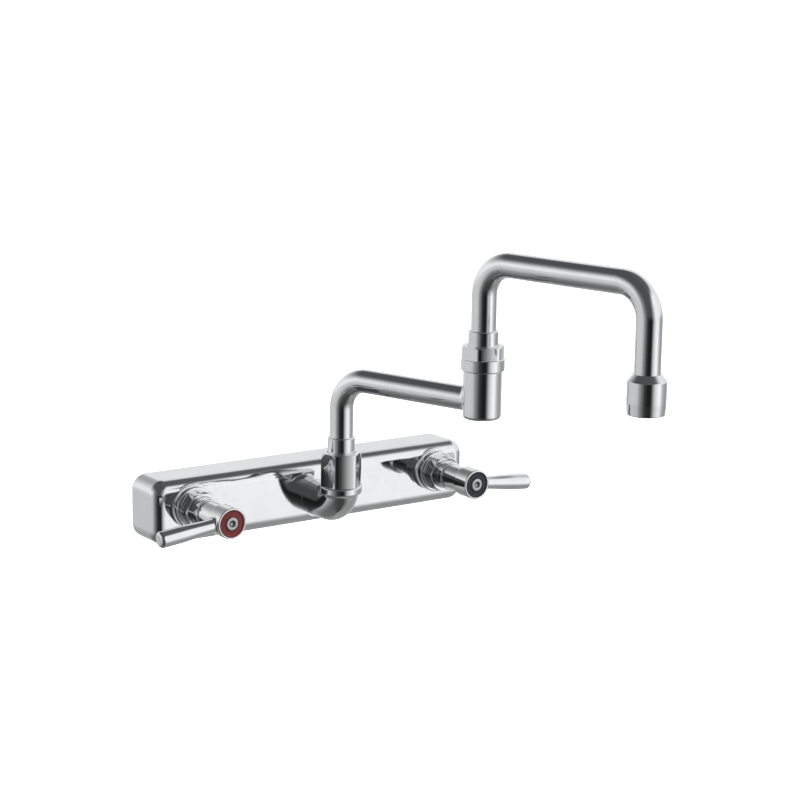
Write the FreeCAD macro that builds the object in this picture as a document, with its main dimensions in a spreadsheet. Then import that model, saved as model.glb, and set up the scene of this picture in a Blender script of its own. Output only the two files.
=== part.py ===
"""Wall-mounted two-handle mixer tap with a double-jointed swing spout.

The frame: X runs to the right along the body, Y runs into the wall, Z is up.
The origin lies on the wall plane, midway between the two inlets.
All sizes are in millimetres and all angles in degrees.
"""
import FreeCAD, Part
import math
import os
import re
import Sketcher

SIZES = (
    ("body_length", 261.0, "overall length of the body casting"),
    ("body_height", 45.0, "height of the body casting"),
    ("body_low", 1.0, "middle of the casting below the origin"),
    ("body_depth", 36.0, "from the wall plane to the front face"),
    ("body_corner", 10.6, "radius of the four rounded ends"),
    ("body_edge", 8.5, "rounding of the front edges"),
    ("back_edge", 5.0, "rounding of the back edges"),
    ("valve_boss", 16.4, "boss under a bonnet, flush with the front face"),
    ("outlet_boss", 14.6, "boss round the outlet, flush with the front face"),
    ("boss_depth", 9.0, "bosses, back from the front face"),
    ("rim_wall", 8.0, "wall left around the hollows in the back"),
    ("hollow_depth", 15.0, "depth of the hollows in the back"),
    ("centre_land", 40.0, "width of solid metal left at the middle"),
    ("valve_spacing", 203.2, "eight inch centres of inlets and valves"),
    ("valve_rise", 2.0, "valves above the origin"),
    ("inlet_radius", 9.3, "half inch female inlet, at its thread crests"),
    ("inlet_depth", 14.0, "threaded length of an inlet"),
    ("boss_wall", 6.5, "metal around an inlet, beside the hollows"),
    ("port_radius", 5.0, "port through the seat of a valve"),
    ("seat_web", 3.0, "metal between inlet and valve chamber"),
    ("chamber_radius", 11.0, "bore that holds a cartridge"),
    ("mouth_radius", 13.0, "threaded mouth of a valve chamber"),
    ("mouth_depth", 8.0, "depth of the threaded mouth"),
    ("gallery_radius", 5.5, "waterway that joins the two valves"),
    ("gallery_depth", 11.0, "waterway axis behind the front face"),
    ("thread_gap", 0.1, "radial room in screwed and soldered joints"),
    ("running_gap", 0.08, "radial room in a swivel or stem bearing"),
    ("face_gap", 0.3, "room between parts that pass each other"),
    ("bonnet_flange", 15.0, "radius of the bonnet's flange"),
    ("bonnet_base", 6.0, "thickness of the bonnet's flange"),
    ("bonnet_barrel", 10.2, "radius of the bonnet above its flange"),
    ("bonnet_height", 24.0, "top of the bonnet above the body's face"),
    ("bonnet_bore", 8.5, "bore of the bonnet"),
    ("locknut_flats", 24.0, "across the flats of the bonnet locknut"),
    ("locknut_height", 10.0, "height of the bonnet locknut"),
    ("shell_wall", 1.6, "wall of a cartridge shell"),
    ("shell_floor", 4.0, "stem guide starts this far below the face"),
    ("seal_height", 2.0, "thickness of the seal under the discs"),
    ("disc_height", 3.0, "thickness of a ceramic disc"),
    ("disc_port", 2.4, "radius of the two ports in a ceramic disc"),
    ("disc_port_offset", 4.6, "ports from the middle of a disc"),
    ("disc_gap", 0.05, "water film between the discs"),
    ("window_width", 9.0, "side windows of a cartridge shell"),
    ("stem_radius", 4.0, "stem of a valve"),
    ("stem_foot", 2.0, "thickness of the foot that turns the disc"),
    ("spline_radius", 3.7, "end of the stem that carries the handle"),
    ("spline_length", 16.0, "length of the splined end"),
    ("spline_cover", 14.0, "splined end that the handle covers"),
    ("small_bevel", 0.6, "bevel of small turned edges"),
    ("shell_set_back", 2.0, "cartridge shell below the bonnet's top"),
    ("window_margin", 1.0, "side windows below the stem guide"),
    ("ring_cord", 0.9, "radius of the cord of every sealing ring"),
    ("stem_seal_place", 9.0, "stem seal above the body's face"),
    ("hub_radius", 10.75, "radius of a handle's hub"),
    ("hub_start", 40.0, "hub begins this far above the body's face"),
    ("hub_front", 54.0, "front of a hub above the body's face"),
    ("hub_edge", 0.8, "rounding of the hub's front rim"),
    ("hub_taper", 1.5, "height of the cone between neck and hub"),
    ("hub_web", 8.0, "metal between recess and stem"),
    ("skirt_radius", 9.2, "neck between hub and bonnet"),
    ("skirt_wall", 1.4, "wall of that neck"),
    ("recess_radius", 9.3, "recess that holds the index ring"),
    ("recess_depth", 2.0, "depth of that recess"),
    ("index_height", 1.7, "thickness of an index ring"),
    ("screw_head", 4.7, "radius of a handle screw's head"),
    ("screw_head_height", 2.2, "height of a handle screw's head"),
    ("screw_shank", 1.55, "radius of a handle screw"),
    ("screw_length", 16.0, "length of a handle screw under its head"),
    ("screw_key", 4.0, "across the flats of the socket in the head"),
    ("screw_key_depth", 1.3, "depth of that socket"),
    ("screw_tap_spare", 2.0, "tapped hole beyond the screw's end"),
    ("lever_place", 47.0, "lever axis above the body's face"),
    ("lever_length", 52.0, "from the hub's axis to the tip"),
    ("lever_root", 4.8, "radius of the lever at its hub"),
    ("lever_grip", 5.7, "radius of the lever near its tip"),
    ("lever_tip", 2.6, "rounding of the lever's tip"),
    ("lever_seat", 1.4, "depth of the lever's root inside the hub"),
    ("lever_narrow_end", 16.0, "slim part of the lever, from the hub's axis"),
    ("lever_wide_start", 37.0, "full part of the lever, from the hub's axis"),
    ("lever_droop", 6.0, "lever below the horizontal when shut"),
    ("spout_reach", 66.5, "spout riser in front of the wall plane"),
    ("elbow_drop", 5.0, "outlet barrel below the origin"),
    ("elbow_barrel", 12.7, "radius of the outlet barrel and its bend"),
    ("elbow_bend", 15.0, "bend of the elbow, at its axis"),
    ("elbow_bore", 6.0, "waterway through the outlet barrel"),
    ("elbow_tail", 8.5, "screwed tail of the elbow, inside the body"),
    ("elbow_tail_radius", 9.2, "radius of that tail"),
    ("elbow_rim", 14.7, "radius of the rim under the swivel nut"),
    ("elbow_well", 3.0, "straight waterway under the spigot's bore"),
    ("rim_bottom", 5.0, "underside of that rim, above the origin"),
    ("rim_top", 10.0, "top of that rim, above the origin"),
    ("neck_radius", 11.4, "threaded neck under a swivel nut"),
    ("base_neck_top", 18.0, "top of the elbow's threaded neck"),
    ("base_nut_top", 34.3, "top of the base swivel nut"),
    ("base_collar_top", 44.9, "top of the collar on the first riser"),
    ("base_collar", 9.65, "radius of the collar on the first riser"),
    ("nut_flats", 26.0, "across the flats of both swivel nuts"),
    ("nut_chamfer", 1.3, "bevel of the corners of a nut, across"),
    ("nut_chamfer_height", 1.2, "bevel of the corners of a nut, along"),
    ("nut_turn", 40.0, "how far both swivel nuts are turned"),
    ("tube_radius", 8.25, "outside of the spout tube"),
    ("tube_wall", 1.2, "wall of the spout tube"),
    ("bend_radius", 22.0, "bends of the spout tube, at the axis"),
    ("spigot_radius", 8.5, "spigot that turns inside a swivel"),
    ("spigot_bore", 5.5, "bore of a spigot"),
    ("spigot_depth", 11.0, "spigot below the top of its neck"),
    ("spigot_room", 1.0, "room under a spigot"),
    ("tube_seat", 6.0, "tube starts this far above the neck"),
    ("tenon_length", 8.0, "spigot inside the tube"),
    ("shoulder_radius", 10.9, "shoulder that holds a spout in its nut"),
    ("shoulder_height", 3.0, "thickness of that shoulder"),
    ("bearing_radius", 11.2, "outside of a bearing ring"),
    ("bearing_height", 3.2, "height of a bearing ring"),
    ("lower_ring_place", 8.0, "lower sealing ring below the neck's top"),
    ("upper_ring_place", 3.4, "upper sealing ring below the neck's top"),
    ("collar_start", 8.0, "collars start this far above the neck"),
    ("arm_one", 120.0, "riser to joint"),
    ("arm_one_height", 87.0, "first arm above the origin"),
    ("heading_one", -73.5, "direction of the first arm at rest"),
    ("housing_radius", 12.75, "radius of the joint housing"),
    ("housing_below", 11.6, "housing below the first arm's axis"),
    ("housing_above", 20.5, "housing above the first arm's axis"),
    ("housing_edge", 2.6, "rounding of the housing's bottom"),
    ("housing_floor", 3.6, "metal under the bore of the housing"),
    ("joint_neck", 7.6, "threaded neck of the housing"),
    ("joint_skirt", 14.4, "radius of the round foot of the joint nut"),
    ("joint_skirt_height", 7.5, "height of that foot"),
    ("joint_nut_height", 16.7, "height of the joint nut with its foot"),
    ("joint_collar_height", 9.8, "collar above the joint nut"),
    ("joint_collar", 9.9, "radius of the collar above the joint nut"),
    ("arm_two", 134.0, "joint to outlet"),
    ("arm_two_height", 179.0, "second arm above the origin"),
    ("heading_two", -79.0, "direction of the second arm at rest"),
    ("outlet_drop", 80.0, "outlet below the second arm's axis"),
    ("outlet_length", 25.5, "length of the outlet fitting"),
    ("outlet_cone", 4.4, "height of the outlet fitting's cone"),
    ("outlet_radius", 12.4, "radius of the outlet fitting"),
    ("outlet_mouth", 11.9, "radius of the outlet fitting at its mouth"),
    ("outlet_taper", 7.6, "height over which it narrows to its mouth"),
    ("outlet_throat", 0.65, "metal around the tube at the cone's top"),
    ("outlet_recess", 12.0, "depth of the recess for the straightener"),
    ("outlet_lip", 2.0, "stop between tube and recess"),
    ("recess_wall", 1.7, "metal around the straightener"),
    ("washer_height", 2.0, "thickness of the outlet washer"),
    ("straightener_height", 8.0, "height of the flow straightener"),
    ("straightener_hole", 1.5, "radius of the flow straightener's holes"),
    ("straightener_circle", 6.2, "circle of those holes"),
)

PLACES = {
    "mid_valve": "valve_spacing / 2",
    "chamber_floor": "(body_depth - inlet_depth - seat_web)",
    "shell_radius": "(chamber_radius - thread_gap)",
    "shell_bore": "(chamber_radius - thread_gap - shell_wall)",
    "stem_bore": "(stem_radius + running_gap)",
    "bearing_bore": "(spigot_radius + running_gap)",
    "tube_bore": "(tube_radius - tube_wall)",
    "joint_neck_top": "(arm_one_height + housing_above + joint_neck)",
    "joint_foot": "(arm_one_height + housing_above + face_gap)",
    "joint_nut_top": "(arm_one_height + housing_above + joint_nut_height)",
    "joint_x": "(arm_one * cos(heading_one))",
    "joint_y": "(arm_one * sin(heading_one) - spout_reach)",
    "outlet_bottom": "(arm_two_height - outlet_drop)",
    "outlet_top": "(arm_two_height - outlet_drop + outlet_length)",
    "recess_top": "(arm_two_height - outlet_drop + outlet_recess)",
    "straightener_radius": "(outlet_mouth - recess_wall)",
    "recess_floor": "(hub_front - recess_depth)",
    "spline_top": "(hub_front - recess_depth - hub_web)",
    "screw_tap": "(screw_length - hub_web + screw_tap_spare)",
}

TINY = 1e-6
PORT_COUNT = 2
STRAIGHTENER_HOLES = 6

doc = FreeCAD.newDocument("wall_mixer")
sheet = doc.addObject("Spreadsheet::Sheet", "sizes")
for row, (alias, number, note) in enumerate(SIZES, start=1):
    sheet.set(f"A{row}", alias)
    sheet.set(f"B{row}", str(number))
    sheet.set(f"C{row}", note)
    sheet.setAlias(f"B{row}", alias)
doc.recompute()

ALIASES = {alias for alias, number, note in SIZES}


def in_sheet(formula):
    """Spell a formula of size names as an expression on the sheet."""
    def spelled(match):
        word = match.group(0)
        if word in PLACES:
            return "(" + in_sheet(PLACES[word]) + ")"
        return "sizes." + word if word in ALIASES else word
    return re.sub(r"[a-z][a-z_]*", spelled, str(formula))


def bind(thing, path, formula):
    """Tie one property of an object to a formula of sizes."""
    thing.setExpression(path, in_sheet(formula))


def piece(label):
    """Start one sub-part."""
    body = doc.addObject("PartDesign::Body", label)
    body.Label = label
    return body


def stand(body, x="0", y="0", z="0", turn=None):
    """Place a sub-part whose axis stays upright."""
    for letter, formula in zip("xyz", (x, y, z)):
        bind(body, f"Placement.Base.{letter}", formula)
    if turn is not None:
        body.Placement.Rotation = FreeCAD.Rotation(FreeCAD.Vector(0, 0, 1), 1)
        bind(body, "Placement.Rotation.Angle", f"({turn}) * 1 deg")


def face_front(body, x):
    """Place a sub-part on a valve axis, its own Z pointing away from the wall."""
    body.Placement.Rotation = FreeCAD.Rotation(FreeCAD.Vector(1, 0, 0), 90)
    bind(body, "Placement.Base.x", x)
    bind(body, "Placement.Base.y", "0 - body_depth")
    bind(body, "Placement.Base.z", "valve_rise")


def sketch_on(body, name, plane, lift=None, turn=None):
    """Start a sketch on one of the sub-part's own planes."""
    sketch = body.newObject("Sketcher::SketchObject", name)
    origin = [item for item in body.Origin.OriginFeatures if item.Role == plane][0]
    sketch.AttachmentSupport = [(origin, "")]
    sketch.MapMode = "FlatFace"
    if turn is not None:
        upright = FreeCAD.Rotation(FreeCAD.Vector(0, 0, 1), 1)
        sketch.AttachmentOffset = FreeCAD.Placement(FreeCAD.Vector(0, 0, 0), upright)
        bind(sketch, "AttachmentOffset.Rotation.Angle", f"({turn}) * 1 deg")
    if lift is not None:
        bind(sketch, "AttachmentOffset.Base.z", lift)
    return sketch


def pin_point(sketch, geometry, end, start, across, up):
    """Hold one point of a sketch at two formulas."""
    for kind, formula, value in (("DistanceX", across, start.x), ("DistanceY", up, start.y)):
        number = sketch.addConstraint(Sketcher.Constraint(kind, -1, 1, geometry, end, value))
        bind(sketch, f"Constraints[{number}]", formula)


def outline(body, name, plane, corners, lift=None, turn=None):
    """Draw a closed outline through corners given as pairs of formulas."""
    sketch = sketch_on(body, name, plane, lift, turn)
    count = len(corners)
    starts = []
    for index in range(count):
        angle = 2 * math.pi * index / count
        starts.append(FreeCAD.Vector(20 + 9 * math.cos(angle), 9 * math.sin(angle), 0))
    for index in range(count):
        sketch.addGeometry(Part.LineSegment(starts[index], starts[(index + 1) % count]), False)
    for index in range(count):
        sketch.addConstraint(Sketcher.Constraint("Coincident", index, 2, (index + 1) % count, 1))
    for index, (across, up) in enumerate(corners):
        pin_point(sketch, index, 1, starts[index], across, up)
    return sketch


def circles(body, name, plane, rounds, lift=None):
    """Draw circles, each given as centre across, centre up and radius."""
    sketch = sketch_on(body, name, plane, lift)
    for index, (across, up, radius) in enumerate(rounds):
        centre = FreeCAD.Vector(10 * index, 5, 0)
        sketch.addGeometry(Part.Circle(centre, FreeCAD.Vector(0, 0, 1), 3), False)
        number = sketch.addConstraint(Sketcher.Constraint("Radius", index, 3.0))
        bind(sketch, f"Constraints[{number}]", radius)
        pin_point(sketch, index, 3, centre, across, up)
    return sketch


def hexagon(body, name, flats, lift="0"):
    """Draw a hexagon across its flats, on a level plane."""
    corners = []
    for step in range(6):
        angle = 60 * step
        reach = f"({flats}) / 2 / cos(30)"
        corners.append((f"{reach} * cos({angle})", f"{reach} * sin({angle})"))
    return outline(body, name, "XY_Plane", corners, lift)


def box_corners(left, right, low, high):
    """Corners of an upright rectangle."""
    return [(left, low), (right, low), (right, high), (left, high)]


def turned(body, name, sketch, axis="V_Axis", cut=False):
    """Revolve a sketch about one of its axes, or cut with it."""
    kind = "PartDesign::Groove" if cut else "PartDesign::Revolution"
    feature = body.newObject(kind, name)
    feature.Profile = sketch
    feature.ReferenceAxis = (sketch, [axis])
    feature.Angle = 360
    return feature


def raised(body, name, sketch, length):
    """Pad a sketch along its own normal."""
    feature = body.newObject("PartDesign::Pad", name)
    feature.Profile = sketch
    bind(feature, "Length", length)
    return feature


def sunk(body, name, sketch, length, along_normal=False, both_ways=False):
    """Cut a sketch into the sub-part."""
    feature = body.newObject("PartDesign::Pocket", name)
    feature.Profile = sketch
    feature.Reversed = along_normal
    if both_ways:
        feature.Midplane = True
    bind(feature, "Length", length)
    return feature


def rounded(body, name, base, radius, picked):
    """Round the edges of a feature that a test picks."""
    doc.recompute()
    names = [f"Edge{number}" for number, edge in enumerate(base.Shape.Edges, start=1) if picked(edge)]
    feature = body.newObject("PartDesign::Fillet", name)
    feature.Base = (base, names)
    bind(feature, "Radius", radius)
    return feature


def ring_piece(label, corners):
    """Make a turned sub-part from the half section given."""
    body = piece(label)
    turned(body, label + "_turned", outline(body, label + "_section", "XZ_Plane", corners))
    return body


def sealing_ring(label, mean_radius, place):
    """Make a rubber ring of round cord, lying level at a height."""
    body = piece(label)
    section = circles(body, label + "_section", "XZ_Plane", [(mean_radius, place, "ring_cord")])
    turned(body, label + "_turned", section)
    return body


def is_level_circle(edge, height, radius):
    """Tell a full circle of some radius at some height."""
    curve = edge.Curve
    if not isinstance(curve, Part.Circle):
        return False
    return abs(curve.Center.z - height) < 0.01 and abs(curve.Radius - radius) < 0.01


def number_of(formula):
    """Work a formula out as a plain number, from the values in the sheet."""
    probe = doc.addObject("App::FeaturePython", "probe")
    probe.addProperty("App::PropertyFloat", "Result")
    bind(probe, "Result", formula)
    doc.recompute()
    result = probe.Result
    doc.removeObject(probe.Name)
    return result


def make_body_casting():
    """The long hollow-backed casting with its valve chambers and waterway."""
    body = piece("body_casting")
    bottom = "0 - body_height / 2 - body_low"
    top = "body_height / 2 - body_low"
    front = outline(body, "body_front", "XZ_Plane", box_corners(
        "0 - body_length / 2", "body_length / 2", bottom, top))
    block = raised(body, "body_block", front, "body_depth")
    ends = rounded(body, "body_ends", block, "body_corner",
                   lambda edge: abs(edge.tangentAt(edge.FirstParameter).y) > 0.9)
    depth = number_of("body_depth")
    edges = rounded(body, "body_edges", ends, "body_edge",
                    lambda edge: abs(edge.CenterOfMass.y + depth) < 0.01)
    rounded(body, "body_back", edges, "back_edge", lambda edge: abs(edge.CenterOfMass.y) < 0.01)
    for name, across, up, radius in (("left", "0 - mid_valve", "valve_rise", "valve_boss"),
                                     ("right", "mid_valve", "valve_rise", "valve_boss"),
                                     ("outlet", "0", "0 - elbow_drop", "outlet_boss")):
        ring = circles(body, f"boss_{name}", "XZ_Plane", [(across, up, radius)], lift="body_depth - boss_depth")
        raised(body, f"boss_{name}_pad", ring, "boss_depth")
    for side, sign in (("left", "0 - "), ("right", "")):
        inner = "centre_land / 2"
        outer = "mid_valve - inlet_radius - boss_wall"
        low = f"{bottom} + rim_wall"
        high = f"{top} - rim_wall"
        hollow = outline(body, f"hollow_{side}", "XZ_Plane",
                         box_corners(f"{sign}({inner})", f"{sign}({outer})", low, high))
        sunk(body, f"hollow_{side}_cut", hollow, "hollow_depth", along_normal=True)
        valve = f"{sign}mid_valve"
        inlet = circles(body, f"inlet_{side}", "XZ_Plane", [(valve, "valve_rise", "inlet_radius")])
        sunk(body, f"inlet_{side}_cut", inlet, "inlet_depth", along_normal=True)
        port = circles(body, f"port_{side}", "XZ_Plane", [(valve, "valve_rise", "port_radius")])
        sunk(body, f"port_{side}_cut", port, "inlet_depth + seat_web", along_normal=True)
        chamber = circles(body, f"chamber_{side}", "XZ_Plane", [(valve, "valve_rise", "chamber_radius")],
                          lift="body_depth")
        sunk(body, f"chamber_{side}_cut", chamber, "chamber_floor")
        mouth = circles(body, f"mouth_{side}", "XZ_Plane", [(valve, "valve_rise", "mouth_radius")],
                        lift="body_depth")
        sunk(body, f"mouth_{side}_cut", mouth, "mouth_depth")
    gallery = circles(body, "gallery", "YZ_Plane",
                      [("gallery_depth - body_depth", "valve_rise", "gallery_radius")])
    sunk(body, "gallery_cut", gallery, "valve_spacing", both_ways=True)
    tail = circles(body, "tail_port", "XZ_Plane",
                   [("0", "0 - elbow_drop", "elbow_tail_radius + thread_gap")], lift="body_depth")
    sunk(body, "tail_port_cut", tail, "elbow_tail + thread_gap")
    feed = circles(body, "feed_port", "XZ_Plane",
                   [("0", "0 - elbow_drop", "elbow_bore")], lift="body_depth")
    sunk(body, "feed_port_cut", feed, "gallery_depth")


def make_valve(side, sign):
    """One valve: cartridge, bonnet, locknut, stem, handle, index ring and screw."""
    axis = f"{sign}mid_valve"
    floor = "0 - chamber_floor"
    disc_radius = "shell_bore - thread_gap"
    upper_shell = "bonnet_bore - thread_gap"
    fixed_bottom = f"{floor} + seal_height"
    moving_bottom = f"{fixed_bottom} + disc_height + disc_gap"
    foot_bottom = f"{moving_bottom} + disc_height"

    seal = ring_piece(f"{side}_seat_seal", box_corners("port_radius", disc_radius, floor, fixed_bottom))
    shell = ring_piece(f"{side}_cartridge_shell", [
        ("shell_bore", floor), ("shell_radius", floor), ("shell_radius", "0"), (upper_shell, "0"),
        (upper_shell, "bonnet_height - shell_set_back"), ("stem_bore", "bonnet_height - shell_set_back"),
        ("stem_bore", "0 - shell_floor"), ("shell_bore", "0 - shell_floor")])
    window = outline(shell, f"{side}_window", "YZ_Plane", box_corners(
        "0 - window_width / 2", "window_width / 2", foot_bottom, "0 - shell_floor - window_margin"))
    sunk(shell, f"{side}_window_cut", window, "2 * chamber_radius", both_ways=True)

    discs = []
    for name, bottom in (("fixed_disc", fixed_bottom), ("moving_disc", moving_bottom)):
        disc = piece(f"{side}_{name}")
        blank = circles(disc, f"{side}_{name}_blank", "XY_Plane", [("0", "0", disc_radius)], lift=bottom)
        raised(disc, f"{side}_{name}_pad", blank, "disc_height")
        holes = []
        for port in range(PORT_COUNT):
            turn = 360 * port / PORT_COUNT
            holes.append((f"disc_port_offset * cos({turn})", f"disc_port_offset * sin({turn})", "disc_port"))
        ports = circles(disc, f"{side}_{name}_ports", "XY_Plane", holes, lift=bottom)
        sunk(disc, f"{side}_{name}_cut", ports, "disc_height", along_normal=True)
        discs.append(disc)

    bonnet = ring_piece(f"{side}_bonnet", [
        ("chamber_radius", "0 - mouth_depth"), ("mouth_radius - thread_gap", "0 - mouth_depth"),
        ("mouth_radius - thread_gap", "0"), ("bonnet_flange", "0"),
        ("bonnet_flange", "bonnet_base - small_bevel"),
        ("bonnet_flange - small_bevel", "bonnet_base"), ("bonnet_barrel", "bonnet_base"),
        ("bonnet_barrel", "bonnet_height - small_bevel"), ("bonnet_barrel - small_bevel", "bonnet_height"),
        ("bonnet_bore", "bonnet_height"), ("bonnet_bore", "0"), ("chamber_radius", "0")])
    locknut = hex_nut(f"{side}_bonnet_locknut", "locknut_flats", "bonnet_base", "locknut_height",
                      [("bonnet_barrel + thread_gap", "bonnet_base", "bonnet_base + locknut_height")])

    groove_floor = "stem_bore - 2 * ring_cord - running_gap"
    stem = ring_piece(f"{side}_stem", [
        ("0", foot_bottom), (disc_radius, foot_bottom), (disc_radius, f"{foot_bottom} + stem_foot"),
        ("stem_radius", f"{foot_bottom} + stem_foot"),
        ("stem_radius", "stem_seal_place - ring_cord"), (groove_floor, "stem_seal_place - ring_cord"),
        (groove_floor, "stem_seal_place + ring_cord"), ("stem_radius", "stem_seal_place + ring_cord"),
        ("stem_radius", "spline_top - spline_length"), ("spline_radius", "spline_top - spline_length"),
        ("spline_radius", "spline_top"), ("screw_shank + running_gap", "spline_top"),
        ("screw_shank + running_gap", "spline_top - screw_tap"), ("0", "spline_top - screw_tap")])
    stem_ring = sealing_ring(f"{side}_stem_ring", "stem_bore - ring_cord - running_gap / 2",
                             "stem_seal_place")

    lever = ring_piece(f"{side}_lever_handle", [
        ("skirt_radius - skirt_wall", "bonnet_height + face_gap"),
        ("skirt_radius", "bonnet_height + face_gap"),
        ("skirt_radius", "hub_start - hub_taper"), ("hub_radius", "hub_start"),
        ("hub_radius", "hub_front - hub_edge"),
        ("hub_radius - hub_edge * 0.3", "hub_front - hub_edge * 0.3"), ("hub_radius - hub_edge", "hub_front"),
        ("recess_radius", "hub_front"), ("recess_radius", "recess_floor"),
        ("screw_shank + face_gap", "recess_floor"), ("screw_shank + face_gap", "spline_top"),
        ("spline_radius + thread_gap / 2", "spline_top"),
        ("spline_radius + thread_gap / 2", "spline_top - spline_cover"),
        ("skirt_radius - skirt_wall", "spline_top - spline_cover")])
    reach = "hub_radius - lever_seat"
    heading = "0 - lever_droop" if side == "cold" else "180 + lever_droop"
    grip = outline(lever, f"{side}_lever_section", "XY_Plane", [
        (reach, "0"), (reach, "lever_root"), ("lever_narrow_end", "lever_root"),
        ("lever_wide_start", "lever_grip"), ("lever_length", "lever_grip"), ("lever_length", "0")],
        lift="lever_place", turn=heading)
    bar = turned(lever, f"{side}_lever_bar", grip, axis="H_Axis")
    doc.recompute()
    tip_radius = number_of("lever_grip")
    tip_place = number_of("lever_length")
    rounded(lever, f"{side}_lever_tip", bar, "lever_tip",
            lambda edge: isinstance(edge.Curve, Part.Circle) and abs(edge.Curve.Radius - tip_radius) < 0.01
            and math.hypot(edge.Curve.Center.x, edge.Curve.Center.y) > tip_place - 0.5)

    index = ring_piece(f"{side}_index_ring", [
        ("screw_head + thread_gap", "recess_floor"), ("recess_radius - thread_gap", "recess_floor"),
        ("recess_radius - thread_gap", "recess_floor + index_height"),
        ("screw_head + thread_gap", "recess_floor + index_height")])
    screw = ring_piece(f"{side}_handle_screw", [
        ("0", "recess_floor - screw_length"), ("screw_shank", "recess_floor - screw_length"),
        ("screw_shank", "recess_floor"), ("screw_head", "recess_floor"),
        ("screw_head", "recess_floor + screw_head_height - small_bevel"),
        ("screw_head - small_bevel", "recess_floor + screw_head_height"),
        ("0", "recess_floor + screw_head_height")])
    key = hexagon(screw, f"{side}_screw_key", "screw_key", "recess_floor + screw_head_height")
    sunk(screw, f"{side}_screw_key_cut", key, "screw_key_depth")

    for body in [seal, shell, bonnet, locknut, stem, stem_ring, lever, index, screw] + discs:
        face_front(body, axis)


def hex_nut(label, flats, bottom, height, bores, foot=None):
    """A nut with bevelled corners, a round foot if wanted, and stepped bores."""
    body = piece(label)
    hex_bottom = f"{bottom} + {foot[1]}" if foot else bottom
    hex_height = f"{height} - {foot[1]}" if foot else height
    top = f"{bottom} + {height}"
    blank = hexagon(body, label + "_flats", flats, hex_bottom)
    raised(body, label + "_blank", blank, hex_height)
    corner = f"({flats}) / 2 / cos(30)"
    bevel = outline(body, label + "_bevel", "XZ_Plane", [
        (f"{corner} - nut_chamfer", top), (f"{corner} + nut_chamfer", top),
        (f"{corner} + nut_chamfer", f"{top} - 2 * nut_chamfer_height")])
    turned(body, label + "_bevel_cut", bevel, cut=True)
    if foot:
        ring = circles(body, label + "_foot", "XY_Plane", [("0", "0", foot[0])], lift=bottom)
        raised(body, label + "_foot_pad", ring, foot[1])
    for step, (radius, low, high) in enumerate(bores):
        bore = outline(body, f"{label}_bore_{step}", "XZ_Plane", box_corners("0", radius, low, high))
        turned(body, f"{label}_bore_{step}_cut", bore, cut=True)
    return body


def make_swivel(name, neck_top, nut, collar_radius, collar_top, centre, heading):
    """The turning joint at the foot of a riser: spigot, rings, bearing, nut and collar."""
    seat = f"{neck_top} + tube_seat"
    shoulder = f"{neck_top} + face_gap"
    bearing = f"{shoulder} + shoulder_height + thread_gap"
    bottom = f"{neck_top} - spigot_depth"
    groove_floor = "bearing_bore - 2 * ring_cord - running_gap"
    tenon = "tube_bore - thread_gap / 2"
    section = [("spigot_bore", bottom), ("spigot_radius", bottom)]
    for place in ("lower_ring_place", "upper_ring_place"):
        middle = f"{neck_top} - {place}"
        section += [("spigot_radius", f"{middle} - ring_cord"), (groove_floor, f"{middle} - ring_cord"),
                    (groove_floor, f"{middle} + ring_cord"), ("spigot_radius", f"{middle} + ring_cord")]
    section += [("spigot_radius", shoulder), ("shoulder_radius", shoulder),
                ("shoulder_radius", f"{shoulder} + shoulder_height"),
                ("spigot_radius", f"{shoulder} + shoulder_height"), ("spigot_radius", seat), (tenon, seat),
                (tenon, f"{seat} + tenon_length"), ("spigot_bore", f"{seat} + tenon_length")]
    made = [ring_piece(f"{name}_spigot", section)]
    for place in ("lower", "upper"):
        made.append(sealing_ring(f"{name}_{place}_ring", "bearing_bore - ring_cord - running_gap / 2",
                                 f"{neck_top} - {place}_ring_place"))
    made.append(ring_piece(f"{name}_bearing_ring", box_corners(
        "bearing_bore", "bearing_radius", bearing, f"{bearing} + bearing_height")))
    made.append(ring_piece(f"{name}_collar", box_corners(
        "tube_radius + thread_gap / 2", collar_radius, f"{neck_top} + collar_start", collar_top)))
    for body in made:
        stand(body, *centre)
    inner_top = f"{bearing} + bearing_height"
    bottom, height, foot = nut
    hexed = hex_nut(f"{name}_swivel_nut", "nut_flats", bottom, height, [
        ("neck_radius + thread_gap", bottom, inner_top),
        (f"{collar_radius} + face_gap", inner_top, f"{bottom} + {height}")], foot)
    stand(hexed, *centre, turn=heading)


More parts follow.
